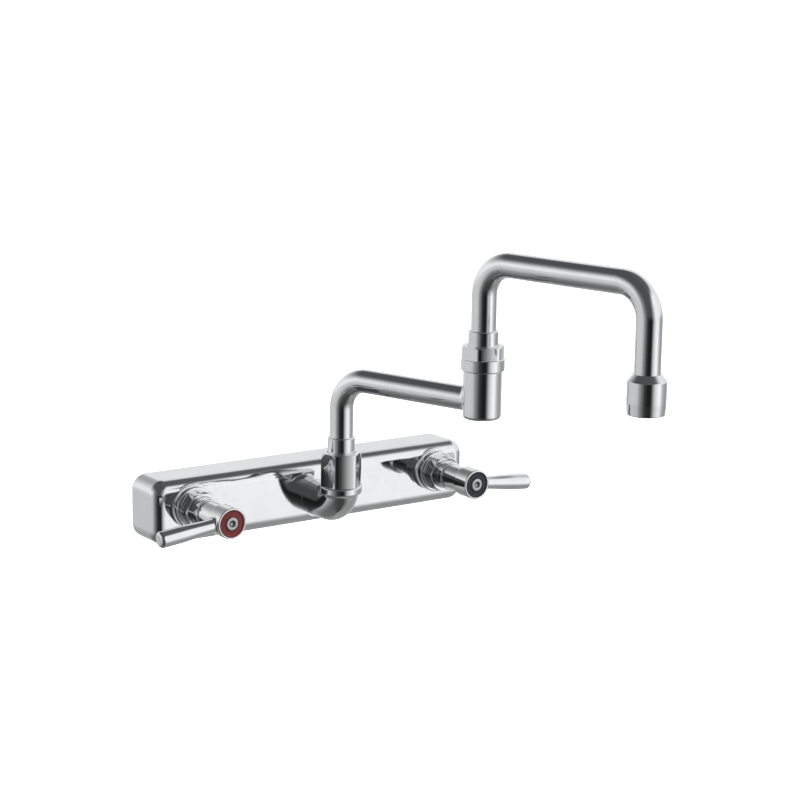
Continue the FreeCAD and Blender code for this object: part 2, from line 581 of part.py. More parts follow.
def make_elbow():
    """The bend that brings the water out of the body and up to the spout."""
    body = piece("outlet_elbow")
    stand(body, y="0 - spout_reach")
    face = "spout_reach - body_depth"
    neck = outline(body, "elbow_neck_section", "XZ_Plane", [
        ("0", "rim_bottom"), ("elbow_rim", "rim_bottom"), ("elbow_rim", "rim_top"),
        ("neck_radius", "rim_top"), ("neck_radius", "base_neck_top"), ("0", "base_neck_top")])
    turned(body, "elbow_neck", neck)
    path = sketch_on(body, "elbow_path", "YZ_Plane")
    vector = FreeCAD.Vector
    front, bend, low = number_of(face), number_of("elbow_bend"), -number_of("elbow_drop")
    level = path.addGeometry(Part.LineSegment(vector(front, low, 0), vector(bend, low, 0)), False)
    pin_point(path, level, 1, vector(front, low, 0), face, "0 - elbow_drop")
    pin_point(path, level, 2, vector(bend, low, 0), "elbow_bend", "0 - elbow_drop")
    circle = Part.Circle(vector(bend, low + bend, 0), vector(0, 0, 1), bend)
    curve = path.addGeometry(Part.ArcOfCircle(circle, math.pi, 1.5 * math.pi), False)
    path.addConstraint(Sketcher.Constraint("Coincident", curve, 2, level, 2))
    pin_point(path, curve, 3, vector(bend, low + bend, 0), "elbow_bend", "elbow_bend - elbow_drop")
    number = path.addConstraint(Sketcher.Constraint("DistanceY", -1, 1, curve, 1, low + bend))
    bind(path, f"Constraints[{number}]", "elbow_bend - elbow_drop")
    for name, radius, kind in (("elbow_sweep", "elbow_barrel", "PartDesign::AdditivePipe"),
                               ("elbow_waterway", "elbow_bore", "PartDesign::SubtractivePipe")):
        if kind.endswith("SubtractivePipe"):
            tail = circles(body, "elbow_tail_ring", "XZ_Plane", [("0", "0 - elbow_drop", "elbow_tail_radius")],
                           lift=f"0 - ({face}) - elbow_tail")
            raised(body, "elbow_tail_pad", tail, "elbow_tail")
        section = circles(body, name + "_section", "XZ_Plane", [("0", "0 - elbow_drop", radius)],
                          lift=f"0 - ({face})")
        pipe = body.newObject(kind, name)
        pipe.Profile = section
        pipe.Spine = (path, [])
    across = circles(body, "elbow_feed", "XZ_Plane", [("0", "0 - elbow_drop", "elbow_bore")],
                     lift=f"0 - ({face}) - elbow_tail")
    sunk(body, "elbow_feed_cut", across, "elbow_tail", along_normal=True)
    well = "base_neck_top - spigot_depth - spigot_room"
    up = outline(body, "elbow_well_section", "XZ_Plane", [
        ("0", f"{well} - elbow_well"), ("elbow_bore", f"{well} - elbow_well"), ("elbow_bore", well),
        ("bearing_bore", well), ("bearing_bore", "base_neck_top"), ("0", "base_neck_top")])
    turned(body, "elbow_well_cut", up, cut=True)


def bent_tube(label, start, height, length, centre, heading, drop=None):
    """A tube that rises, bends over level and, if wanted, bends down again."""
    body = piece(label)
    low, rise, reach, bend = (number_of(item) for item in (start, height, length, "bend_radius"))
    path = sketch_on(body, label + "_path", "XZ_Plane")
    vector = FreeCAD.Vector
    up = vector(0, 0, 1)
    quarter = math.pi / 2
    points = [vector(0, low, 0), vector(0, rise - bend, 0), vector(bend, rise, 0), vector(reach, rise, 0)]
    ends = [("0", start), ("0", f"{height} - bend_radius"), ("bend_radius", height), (length, height)]
    if drop:
        points[3:] = [vector(reach - bend, rise, 0), vector(reach, rise - bend, 0),
                      vector(reach, rise - number_of(drop), 0)]
        ends[3:] = [(f"{length} - bend_radius", height), (length, f"{height} - bend_radius"),
                    (length, f"{height} - ({drop})")]
    for index in range(0, len(points), 2):
        line = path.addGeometry(Part.LineSegment(points[index], points[index + 1]), False)
        pin_point(path, line, 1, points[index], *ends[index])
        pin_point(path, line, 2, points[index + 1], *ends[index + 1])
    lines = len(points) // 2
    first = Part.Circle(vector(bend, rise - bend, 0), up, bend)
    curves = [(Part.ArcOfCircle(first, quarter, 2 * quarter), "bend_radius", bend, 0)]
    if drop:
        second = Part.Circle(vector(reach - bend, rise - bend, 0), up, bend)
        curves.append((Part.ArcOfCircle(second, 0, quarter), f"{length} - bend_radius", reach - bend, 1))
    for curve, across, value, before in curves:
        arc = path.addGeometry(curve, False)
        path.addConstraint(Sketcher.Constraint("Coincident", arc, 2, before, 2))
        path.addConstraint(Sketcher.Constraint("Coincident", arc, 1, before + 1, 1))
        number = path.addConstraint(Sketcher.Constraint("DistanceX", -1, 1, arc, 3, value))
        bind(path, f"Constraints[{number}]", across)
    section = circles(body, label + "_section", "XY_Plane",
                      [("0", "0", "tube_radius"), ("0", "0", "tube_bore")], lift=start)
    pipe = body.newObject("PartDesign::AdditivePipe", label + "_pipe")
    pipe.Profile = section
    pipe.Spine = (path, [])
    stand(body, *centre, turn=heading)
    doc.recompute()
    run = sum((points[2 * index + 1] - points[2 * index]).Length for index in range(lines))
    run += quarter * bend * len(curves)
    wall = math.pi * (number_of("tube_radius") ** 2 - number_of("tube_bore") ** 2)
    print(f"{label}: volume over section times length {pipe.Shape.Volume / (run * wall):.5f}")
    return body


def make_joint_housing():
    """The upright cup at the end of the first arm, in which the second riser turns."""
    body = piece("joint_housing")
    bottom = "arm_one_height - housing_below"
    top = "arm_one_height + housing_above"
    neck = "joint_neck_top"
    section = outline(body, "housing_section", "XZ_Plane", [
        ("0", bottom), ("housing_radius", bottom), ("housing_radius", top), ("neck_radius", top),
        ("neck_radius", neck), ("bearing_bore", neck), ("bearing_bore", f"{bottom} + housing_floor"),
        ("0", f"{bottom} + housing_floor")])
    cup = turned(body, "housing_turned", section)
    doc.recompute()
    radius = number_of("housing_radius")
    level = number_of(bottom)
    rounded(body, "housing_bottom", cup, "housing_edge", lambda edge: is_level_circle(edge, level, radius))
    side = circles(body, "housing_port", "YZ_Plane",
                   [("0", "arm_one_height", "tube_radius + thread_gap / 2")])
    sunk(body, "housing_port_cut", side, "housing_radius + thread_gap")
    stand(body, "joint_x", "joint_y", "0", turn="heading_one")


def make_outlet():
    """The outlet fitting at the end of the spout, its washer and its flow straightener."""
    centre = ("joint_x + arm_two * cos(heading_two)", "joint_y + arm_two * sin(heading_two)", "0")
    lip = "recess_top + outlet_lip"
    recess = "straightener_radius + thread_gap"
    fitting = ring_piece("outlet_fitting", [
        (recess, "outlet_bottom"), ("outlet_mouth - small_bevel", "outlet_bottom"),
        ("outlet_mouth", "outlet_bottom + small_bevel"), ("outlet_radius", "outlet_bottom + outlet_taper"),
        ("outlet_radius", "outlet_top - outlet_cone"), ("tube_radius + outlet_throat", "outlet_top"),
        ("tube_radius + thread_gap / 2", "outlet_top"), ("tube_radius + thread_gap / 2", lip),
        ("tube_bore", lip), ("tube_bore", "recess_top"), (recess, "recess_top")])
    washer = ring_piece("outlet_washer", box_corners(
        "tube_bore", "straightener_radius", "recess_top - washer_height", "recess_top"))
    straightener = piece("flow_straightener")
    bottom = "recess_top - washer_height - straightener_height"
    blank = circles(straightener, "straightener_blank", "XY_Plane", [("0", "0", "straightener_radius")],
                    lift=bottom)
    raised(straightener, "straightener_pad", blank, "straightener_height")
    holes = [("0", "0", "straightener_hole")]
    for step in range(STRAIGHTENER_HOLES):
        angle = 360 * step / STRAIGHTENER_HOLES
        holes.append((f"straightener_circle * cos({angle})", f"straightener_circle * sin({angle})",
                      "straightener_hole"))
    drilled = circles(straightener, "straightener_holes", "XY_Plane", holes, lift=bottom)
    sunk(straightener, "straightener_cut", drilled, "straightener_height", along_normal=True)
    for body in (fitting, washer, straightener):
        stand(body, *centre)


def check_document():
    """Stop if anything failed, is empty, or cut nothing."""
    doc.recompute()
    for item in doc.Objects:
        if "Invalid" in item.State or "Error" in item.State:
            raise RuntimeError(f"{item.Label} failed: {item.State}")
        if item.TypeId in ("PartDesign::Pocket", "PartDesign::Groove"):
            before = item.BaseFeature.Shape.Volume
            if item.Shape.Volume > before - TINY * before:
                raise RuntimeError(f"{item.Label} cuts nothing")


def write_parts():
    """Write each sub-part to its own file."""
    os.makedirs("parts", exist_ok=True)
    for body in doc.findObjects("PartDesign::Body"):
        shape = body.Shape
        if shape.isNull() or not shape.isValid() or not shape.Solids:
            raise RuntimeError(f"{body.Label} has no valid shape")
        shape.exportStep(f"parts/{body.Label}.step")
        print(f"{body.Label}: {len(shape.Solids)} solid, {shape.Volume / 1000:.2f} cm3")


make_body_casting()
make_elbow()
for valve_side, valve_sign in (("hot", "0 - "), ("cold", "")):
    make_valve(valve_side, valve_sign)
base_nut = ("rim_top", "(base_nut_top - rim_top)", None)
make_swivel("base", "base_neck_top", base_nut, "base_collar", "base_collar_top",
            ("0", "0 - spout_reach", "0"), "nut_turn")
bent_tube("arm_one_tube", "base_neck_top + tube_seat", "arm_one_height",
          "arm_one - bearing_bore - small_bevel", ("0", "0 - spout_reach", "0"), "heading_one")
make_joint_housing()
joint_nut = ("joint_foot", "(joint_nut_top - joint_foot)", ("joint_skirt", "joint_skirt_height"))
make_swivel("joint", "joint_neck_top", joint_nut, "joint_collar", "joint_nut_top + joint_collar_height",
            ("joint_x", "joint_y", "0"), "nut_turn")
bent_tube("arm_two_tube", "joint_neck_top + tube_seat", "arm_two_height", "arm_two",
          ("joint_x", "joint_y", "0"), "heading_two", drop="outlet_drop - outlet_recess - outlet_lip")
make_outlet()
check_document()
write_parts()
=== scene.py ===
"""Looks of a wall-mounted two-handle mixer tap with a double-jointed swing spout.

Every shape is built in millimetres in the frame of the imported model: X to the right along the body, Y into
the wall, Z up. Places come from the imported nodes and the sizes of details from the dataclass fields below.
"""
import logging
import math
from dataclasses import dataclass
from enum import Enum
from typing import Any, Callable, Sequence

import bpy
import numpy as np
from mathutils import Matrix, Vector


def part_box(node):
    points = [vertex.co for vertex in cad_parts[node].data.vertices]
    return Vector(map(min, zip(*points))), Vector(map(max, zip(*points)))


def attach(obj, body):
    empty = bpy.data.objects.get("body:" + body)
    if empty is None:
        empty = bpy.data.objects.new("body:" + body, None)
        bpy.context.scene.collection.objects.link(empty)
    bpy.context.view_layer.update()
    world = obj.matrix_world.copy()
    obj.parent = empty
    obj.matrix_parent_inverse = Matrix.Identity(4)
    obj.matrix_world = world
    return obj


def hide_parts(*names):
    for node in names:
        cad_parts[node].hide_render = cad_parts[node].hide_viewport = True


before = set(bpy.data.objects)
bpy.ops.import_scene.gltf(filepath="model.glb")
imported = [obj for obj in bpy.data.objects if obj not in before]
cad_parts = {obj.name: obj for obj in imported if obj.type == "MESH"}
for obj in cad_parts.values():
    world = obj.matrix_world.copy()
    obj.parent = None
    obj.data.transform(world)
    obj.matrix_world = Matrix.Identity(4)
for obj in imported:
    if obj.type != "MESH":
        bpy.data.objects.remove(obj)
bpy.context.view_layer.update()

LOG = logging.getLogger("wall_mixer")
MM = 0.001
Colour = tuple[float, float, float]
Corner = tuple[float, ...]
Distance = Callable[[np.ndarray], np.ndarray]
Reshape = Callable[[np.ndarray, np.ndarray, np.ndarray], np.ndarray]


class Side(Enum):
    """The two valves of the tap, with the way their levers point along X."""

    HOT = -1
    COLD = 1

    @property
    def word(self) -> str:
        """The side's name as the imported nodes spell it."""
        return self.name.lower()


class Grain(Enum):
    """Which way the polishing or turning marks of a finish run."""

    BUFFED = (1.0, 1.0, 1.0)
    ALONG_BODY = (0.12, 1.0, 1.0)
    ROUND_UPRIGHT = (0.3, 0.3, 3.0)
    ROUND_VALVE = (0.3, 3.0, 0.3)


class Wire:
    """A shader socket that takes part in Python arithmetic."""

    def __init__(self, graph: "Graph", socket: bpy.types.NodeSocket) -> None:
        """Remember the socket and the graph that new nodes go to."""
        self.graph = graph
        self.socket = socket

    def __add__(self, other: Any) -> "Wire":
        """Sum of two values."""
        return self.graph.math("ADD", self, other)

    def __sub__(self, other: Any) -> "Wire":
        """Difference of two values."""
        return self.graph.math("SUBTRACT", self, other)

    def __rsub__(self, other: Any) -> "Wire":
        """Difference with the number on the left."""
        return self.graph.math("SUBTRACT", other, self)

    def __mul__(self, other: Any) -> "Wire":
        """Product of two values."""
        return self.graph.math("MULTIPLY", self, other)

    def __truediv__(self, other: Any) -> "Wire":
        """Quotient of two values."""
        return self.graph.math("DIVIDE", self, other)

    __radd__ = __add__
    __rmul__ = __mul__


class Graph:
    """The nodes of one material or of the world."""

    def __init__(self, tree: bpy.types.NodeTree) -> None:
        """Start from an empty tree.

        Args:
            tree: the node tree, whose default nodes are removed.
        """
        tree.nodes.clear()
        self.tree = tree

    def add(self, kind: str, settings: dict[str, Any] | None = None,
            sockets: dict[Any, Any] | None = None) -> bpy.types.Node:
        """Add any node.

        Args:
            kind: the node's type.
            settings: its properties, set first. "stops" gives a ramp's list of (place, grey).
            sockets: values or wires by the name or number of an input.

        Returns:
            The new node.
        """
        node = self.tree.nodes.new(kind)
        for name, value in (settings or {}).items():
            if name == "stops":
                ramp = node.color_ramp
                while len(ramp.elements) > 1:
                    ramp.elements.remove(ramp.elements[-1])
                for number, (place, tone) in enumerate(value):
                    element = ramp.elements[0] if number == 0 else ramp.elements.new(place)
                    element.position = place
                    element.color = (tone, tone, tone, 1.0)
            else:
                setattr(node, name, value)
        for key, value in (sockets or {}).items():
            self.plug(node.inputs[key], value)
        return node

    def plug(self, entry: bpy.types.NodeSocket, value: Any) -> None:
        """Link a wire into an input, or set the input's own value.

        Args:
            entry: the input to fill.
            value: a wire, a number, or a colour or vector.
        """
        if isinstance(value, Wire):
            self.tree.links.new(value.socket, entry)
        elif isinstance(value, tuple) and len(value) == 3 and entry.type == "RGBA":
            entry.default_value = (*value, 1.0)
        else:
            entry.default_value = value

    def out(self, node: bpy.types.Node, name: Any = 0) -> Wire:
        """One output of a node as a wire."""
        return Wire(self, node.outputs[name])

    def math(self, operation: str, first: Any, second: Any = 0.0) -> Wire:
        """One Math node on values."""
        return self.out(self.add("ShaderNodeMath", {"operation": operation}, {0: first, 1: second}))

    def step(self, value: Any, low: float, high: float) -> Wire:
        """A smooth step from 0 at low to 1 at high.

        Args:
            value: the value that is followed.
            low: where the step starts.
            high: where the step ends.

        Returns:
            The height of the step, from 0 to 1.
        """
        node = self.add("ShaderNodeMapRange", {"interpolation_type": "SMOOTHSTEP"},
                        {"Value": value, "From Min": low, "From Max": high})
        return self.out(node)

    def mix(self, share: Any, first: Any, second: Any) -> Wire:
        """A colour between two colours."""
        node = self.add("ShaderNodeMix", {"data_type": "RGBA"}, {0: share, 6: first, 7: second})
        return self.out(node, 2)

    def stretched(self, scale: tuple[float, float, float] = (1.0, 1.0, 1.0)) -> Wire:
        """The surface's own place, in metres, stretched along each axis.

        Args:
            scale: how often the surface's place repeats along X, Y and Z.

        Returns:
            The stretched place, for a noise.
        """
        place = self.out(self.add("ShaderNodeTexCoord"), "Object")
        node = self.add("ShaderNodeVectorMath", {"operation": "MULTIPLY"}, {0: place, 1: scale})
        return self.out(node)

    def noise(self, place: Wire, scale: float, detail: float = 3.0, roughness: float = 0.5) -> Wire:
        """A value from 0 to 1 that wanders over the surface.

        Args:
            place: where on the surface it is.
            scale: how fine it is.
            detail: how many finer layers it has.
            roughness: how strong they are.

        Returns:
            The value.
        """
        node = self.add("ShaderNodeTexNoise", None,
                        {"Vector": place, "Scale": scale, "Detail": detail, "Roughness": roughness})
        return self.out(node)

    def bump(self, height: Wire, depth: float, under: Wire | None = None) -> Wire:
        """A normal from a height between 0 and 1.

        Args:
            height: the height over the surface.
            depth: how deep a full step is, in metres.
            under: another bump's normal that this one adds to.

        Returns:
            The normal.
        """
        sockets: dict[Any, Any] = {"Height": height, "Distance": depth, "Strength": 1.0}
        if under is not None:
            sockets["Normal"] = under
        return self.out(self.add("ShaderNodeBump", None, sockets))

    def surface(self, values: dict[str, Any]) -> None:
        """Finish a material with one principled shader."""
        shader = self.add("ShaderNodeBsdfPrincipled", None, values)
        self.add("ShaderNodeOutputMaterial", None, {"Surface": self.out(shader)})


@dataclass(frozen=True)
class Finish:
    """What every finish has: a name, and nodes made once."""

    name: str

    def dress(self, graph: Graph) -> None:
        """Make the finish's nodes."""
        raise NotImplementedError

    def material(self) -> bpy.types.Material:
        """The finish as a material, made when it is first asked for.

        Returns:
            The material.
        """
        found = bpy.data.materials.get(self.name)
        if found is None:
            found = bpy.data.materials.new(self.name)
            found.use_nodes = True
            self.dress(Graph(found.node_tree))
        return found


@dataclass(frozen=True)
class ChromePlate(Finish):
    """Bright chrome over polished brass, with buffing waves, hairlines and a little film."""

    tint: Colour = (0.79, 0.80, 0.81)
    polish: float = 0.035
    film: float = 0.05
    wave_depth: float = 2.5e-5
    wave_scale: float = 42.0
    grain: Grain = Grain.BUFFED

    def dress(self, graph: Graph) -> None:
        """Make the chrome's nodes.

        Args:
            graph: the material's nodes, to add to.
        """
        place = graph.stretched()
        lines = graph.stretched(self.grain.value)
        smear = graph.step(graph.noise(place, 55.0, 5.0, 0.6), 0.42, 0.72)
        specks = graph.step(graph.noise(place, 900.0, 2.0), 0.68, 0.78)
        hairline = graph.noise(lines, 2600.0, 2.0, 0.7)
        waves = graph.noise(place, self.wave_scale, 1.5, 0.4)
        rough = self.polish + smear * self.film + hairline * 0.02 + specks * 0.06
        darker = tuple(0.9 * part for part in self.tint)
        tone = graph.mix(smear * 0.5 + specks * 0.3, self.tint, darker)
        relief = graph.bump(waves, self.wave_depth)
        graph.surface({"Base Color": tone, "Metallic": 1.0, "Roughness": rough,
                       "Normal": graph.bump(hairline, 1.2e-7, relief)})


@dataclass(frozen=True)
class CastBack(Finish):
    """The unpolished back of the casting: dull plate over sand-cast brass."""

    def dress(self, graph: Graph) -> None:
        """Make the cast metal's nodes.

        Args:
            graph: the material's nodes, to add to.
        """
        place = graph.stretched()
        sand = graph.noise(place, 1400.0, 4.0, 0.65)
        pits = graph.step(graph.noise(place, 420.0, 2.0), 0.62, 0.75)
        stain = graph.noise(place, 40.0, 4.0)
        tone = graph.mix(graph.step(stain, 0.35, 0.7), (0.47, 0.45, 0.40), (0.52, 0.43, 0.27))
        shade = graph.mix(pits * 0.6, tone, (0.16, 0.14, 0.11))
        relief = graph.bump(sand - pits * 0.8, 1.6e-4)
        graph.surface({"Base Color": shade, "Metallic": 1.0, "Roughness": 0.38 + sand * 0.25,
                       "Normal": relief})


@dataclass(frozen=True)
class TurnedBrass(Finish):
    """Bare brass from the lathe, with fine turning rings."""

    grain: Grain = Grain.ROUND_UPRIGHT

    def dress(self, graph: Graph) -> None:
        """Make the brass's nodes.

        Args:
            graph: the material's nodes, to add to.
        """
        rings = graph.noise(graph.stretched(self.grain.value), 1300.0, 3.0, 0.6)
        stain = graph.noise(graph.stretched(), 120.0, 4.0)
        tone = graph.mix(graph.step(stain, 0.4, 0.75), (0.78, 0.60, 0.30), (0.55, 0.38, 0.17))
        graph.surface({"Base Color": tone, "Metallic": 1.0, "Roughness": 0.16 + rings * 0.2,
                       "Normal": graph.bump(rings, 1.5e-5)})


@dataclass(frozen=True)
class ScrewSteel(Finish):
    """Stainless steel of the handle screws, faced on the lathe."""

    def dress(self, graph: Graph) -> None:
        """Make the steel's nodes.

        Args:
            graph: the material's nodes, to add to.
        """
        rings = graph.noise(graph.stretched(Grain.ROUND_VALVE.value), 1800.0, 3.0, 0.6)
        film = graph.noise(graph.stretched(), 260.0, 4.0)
        tone = graph.mix(film, (0.56, 0.57, 0.58), (0.42, 0.42, 0.43))
        graph.surface({"Base Color": tone, "Metallic": 1.0, "Roughness": 0.2 + rings * 0.18,
                       "Normal": graph.bump(rings, 8.0e-6)})


@dataclass(frozen=True)
class Moulded(Finish):
    """Plastic, rubber or ceramic, with faint flow marks and a fine skin."""

    tone: Colour = (0.5, 0.5, 0.5)
    shade: Colour = (0.4, 0.4, 0.4)
    gloss: float = 0.35
    skin_scale: float = 2200.0
    skin_depth: float = 1.2e-5

    def dress(self, graph: Graph) -> None:
        """Make the moulding's nodes.

        Args:
            graph: the material's nodes, to add to.
        """
        place = graph.stretched()
        flow = graph.noise(place, 160.0, 3.0)
        skin = graph.noise(place, self.skin_scale, 3.0, 0.6)
        tone = graph.mix(graph.step(flow, 0.3, 0.7), self.tone, self.shade)
        graph.surface({"Base Color": tone, "Roughness": self.gloss + skin * 0.15 + flow * 0.08,
                       "Normal": graph.bump(skin, self.skin_depth), "Specular IOR Level": 0.5})


CHROME_CAST = ChromePlate("chrome_cast_body", grain=Grain.ALONG_BODY)
CHROME_TUBE = ChromePlate("chrome_drawn_tube", wave_depth=1.2e-5, wave_scale=60.0)
CHROME_TURNED = ChromePlate("chrome_turned", wave_depth=0.8e-5, wave_scale=80.0, grain=Grain.ROUND_UPRIGHT)
CHROME_VALVE = ChromePlate("chrome_valve", wave_depth=0.8e-5, wave_scale=90.0, grain=Grain.ROUND_VALVE)
CAST_BACK = CastBack("cast_back")
BRASS = TurnedBrass("turned_brass")
BRASS_VALVE = TurnedBrass("turned_brass_valve", grain=Grain.ROUND_VALVE)
STEEL = ScrewSteel("stainless_screw")
RED_INDEX = Moulded("red_index", (0.27, 0.022, 0.022), (0.20, 0.016, 0.018), gloss=0.3)
BLUE_INDEX = Moulded("blue_index", (0.016, 0.022, 0.040), (0.010, 0.014, 0.028), gloss=0.28)
RUBBER = Moulded("black_rubber", (0.022, 0.022, 0.023), (0.035, 0.034, 0.033), gloss=0.6,
                 skin_scale=3200.0, skin_depth=3.0e-5)
ACETAL = Moulded("natural_acetal", (0.78, 0.77, 0.72), (0.70, 0.69, 0.64), gloss=0.4)
CERAMIC = Moulded("lapped_ceramic", (0.86, 0.85, 0.82), (0.80, 0.79, 0.76), gloss=0.1,
                  skin_scale=4000.0, skin_depth=2.0e-6)
DARK_ACETAL = Moulded("dark_acetal", (0.045, 0.045, 0.048), (0.06, 0.06, 0.06), gloss=0.45)


def soften(corners: Sequence[Corner], closed: bool = True, bend: float = 9.0) -> np.ndarray:
    """Round the corners of a half section.

    Args:
        corners: (radius, height), then a fillet and the distance across flats where there are any.
        closed: whether the section closes on itself, as it does around a bore.
        bend: the largest turn between two points of a fillet, in degrees.

    Returns:
        One row per point: radius, height and across flats.
    """
    full = [tuple(corner) + (0.0,) * (4 - len(corner)) for corner in corners]
    rows: list[tuple[float, float, float]] = []
    for number, (radius, height, fillet, flats) in enumerate(full):
        here = np.array((radius, height))
        if fillet <= 0 or (not closed and number in (0, len(full) - 1)):
            rows.append((radius, height, flats))
            continue
        before = np.array(full[number - 1][:2]) - here
        after = np.array(full[(number + 1) % len(full)][:2]) - here
        one, two = np.linalg.norm(before), np.linalg.norm(after)
        before, after = before / one, after / two
        angle = math.acos(float(np.clip(before @ after, -0.99999, 0.99999)))
        reach = min(fillet / math.tan(angle / 2), 0.48 * one, 0.48 * two)
        middle = (before + after) / np.linalg.norm(before + after)
        centre = here + middle * reach * math.tan(angle / 2) / math.sin(angle / 2)
        start, end, turn = here + before * reach - centre, here + after * reach - centre, math.pi - angle
        steps = max(2, math.ceil(math.degrees(turn) / bend))
        for step in range(steps + 1):
            share = step / steps
            point = math.sin((1 - share) * turn) * start + math.sin(share * turn) * end
            point = point / math.sin(turn) + centre
            rows.append((float(point[0]), float(point[1]), flats))
    return np.array(rows)


def quarter_turn(count: int) -> np.ndarray:
    """So many evenly spaced angles from 0 to a right angle, both included."""
    return np.linspace(0, math.pi / 2, count)


def rod(radius: float, start: float, end: float) -> list[Corner]:
    """The half section of a plain round bar from one place on its axis to another."""
    return [(0.0, start), (radius, start), (radius, end), (0.0, end)]


def soft_lower(first: np.ndarray, second: Any, blend: float) -> np.ndarray:
    """The lower of two values, rounded off where they meet within blend."""
    near = np.maximum(blend - np.abs(first - second), 0) / blend
    return np.minimum(first, second) - near * near * blend / 4


@dataclass
class Skin:
    """Points in millimetres, the faces between them and, where they are known, their normals."""

    points: np.ndarray
    faces: list[tuple[int, ...]]
    normals: np.ndarray | None = None

    def placed(self, matrix: Matrix) -> "Skin":
        """The same skin moved by a matrix in millimetres.

        Args:
            matrix: the move.

        Returns:
            The moved skin.
        """
        turn = np.array(matrix.to_3x3())
        normals = None if self.normals is None else self.normals @ turn.T
        return Skin(self.points @ turn.T + np.array(matrix.translation), self.faces, normals)

    def mesh(self, name: str) -> bpy.types.Mesh:
        """The skin as a Blender mesh in metres.

        Args:
            name: the mesh's name.

        Returns:
            The new mesh, shaded smooth.
        """
        mesh = bpy.data.meshes.new(name)
        mesh.from_pydata((self.points * MM).tolist(), [], self.faces)
        mesh.update()
        mesh.shade_smooth()
        if self.normals is not None:
            mesh.normals_split_custom_set_from_vertices(self.normals.tolist())
        return mesh


def looped(rings: np.ndarray, closed: bool = True) -> Skin:
    """Join rings of points into a skin.

    Args:
        rings: ring by ring, point by point. A ring whose points are all one becomes a pole.
        closed: whether the last ring joins the first.

    Returns:
        The skin, with flat caps where it is neither closed nor ends in poles.
    """
    count, around = rings.shape[:2]
    poles = [bool(np.ptp(ring, axis=0).max() < 1e-9) for ring in rings]
    points: list[np.ndarray] = []
    index = np.zeros((count, around), int)
    for number, ring in enumerate(rings):
        index[number] = len(points) if poles[number] else len(points) + np.arange(around)
        points.extend(ring[:1] if poles[number] else ring)
    faces: list[tuple[int, ...]] = []
    for number in range(count if closed else count - 1):
        low, high = index[number], index[(number + 1) % count]
        low_next, high_next = np.roll(low, -1), np.roll(high, -1)
        for quad in zip(low.tolist(), low_next.tolist(), high_next.tolist(), high.tolist()):
            face = tuple(dict.fromkeys(quad))
            if len(face) > 2:
                faces.append(face)
    if not closed:
        if not poles[0]:
            faces.append(tuple(index[0][::-1].tolist()))
        if not poles[-1]:
            faces.append(tuple(index[-1].tolist()))
    return Skin(np.array(points), faces)


def spun(corners: Sequence[Corner], closed: bool = True, around: int = 128, turn: float = 0.0,
         pillow: float = 0.0, shape: Reshape | None = None) -> Skin:
    """Turn a half section about the upright axis.

    Args:
        corners: the section's corners, as soften takes them.
        closed: whether the section closes on itself.
        around: how many points go round.
        turn: where the first corner of a hexagon points, in degrees.
        pillow: how much a hexagon's sides are crowned by the polishing, half of it outwards.
        shape: a change to the radius, from the radius, the angle and the height.

    Returns:
        The turned skin.
    """
    angle = 2 * math.pi * np.arange(around) / around
    from_corner = np.mod(angle - math.radians(turn), math.pi / 3) - math.pi / 6
    rings = []
    for radius, height, flats in soften(corners, closed):
        reach = np.full(around, radius)
        if flats > 0:
            corner = flats / 2 / math.cos(math.pi / 6)
            worn = pillow * (np.tan(from_corner) / math.tan(math.pi / 6)) ** 2
            side = flats / 2 / np.cos(from_corner) + pillow / 2 - worn
            side = soft_lower(side, corner - pillow / 2 - 0.28, 0.5)
            reach = soft_lower(side, radius, 0.35)
        if shape is not None:
            reach = shape(reach, angle, np.full(around, height))
        rings.append(np.stack((reach * np.cos(angle), reach * np.sin(angle), np.full(around, height)), -1))
    return looped(np.array(rings), closed)


def swept(path: np.ndarray, outer: float, inner: float, around: int = 96) -> Skin:
    """A tube with a real wall along a path that lies in one upright plane.

    Args:
        path: the points of the tube's axis.
        outer: the tube's outer radius.
        inner: its bore's radius.
        around: how many points go round.

    Returns:
        The tube, closed at both ends by the flat ends of its wall.
    """
    along = np.gradient(path, axis=0)
    along /= np.linalg.norm(along, axis=1)[:, None]
    span = path[-1] - path[0]
    level = np.cross(np.array((span[0], span[1], 0.0)), (0.0, 0.0, 1.0))
    level /= np.linalg.norm(level)
    over = np.cross(level, along)
    angle = 2 * math.pi * np.arange(around) / around
    spread = np.cos(angle)[None, :, None] * level + np.sin(angle)[None, :, None] * over[:, None, :]
    rings = np.concatenate((path[:, None] + outer * spread, (path[:, None] + inner * spread)[::-1]))
    return looped(rings)


def bent_path(foot: Vector, over: Vector, height: float, bend: float, short: float = 0.0,
              drop_to: float | None = None) -> np.ndarray:
    """The axis of a tube that rises, bends over level and may bend down again.

    Args:
        foot: where it starts.
        over: the upright line that it runs to.
        height: how high its level run is.
        bend: the radius of its bends.
        short: how far before that line it ends.
        drop_to: the height at which it ends, if it bends down.

    Returns:
        The axis's points, close together in the bends.
    """
    way = over.xy - foot.xy
    reach = way.length - short
    way.normalize()
    quarter = quarter_turn(33)[1:]
    flat = [(0.0, z) for z in np.linspace(foot.z, height - bend, 9)]
    flat += [(bend - bend * math.cos(a), height - bend + bend * math.sin(a)) for a in quarter]
    flat += [(x, height) for x in np.linspace(bend, reach if drop_to is None else reach - bend, 13)[1:]]
    if drop_to is not None:
        flat += [(reach - bend + bend * math.sin(a), height - bend + bend * math.cos(a)) for a in quarter]
        flat += [(reach, z) for z in np.linspace(height - bend, drop_to, 11)[1:]]
    run = np.array(flat)
    return np.stack((foot.x + run[:, 0] * way.x, foot.y + run[:, 0] * way.y, run[:, 1]), -1)


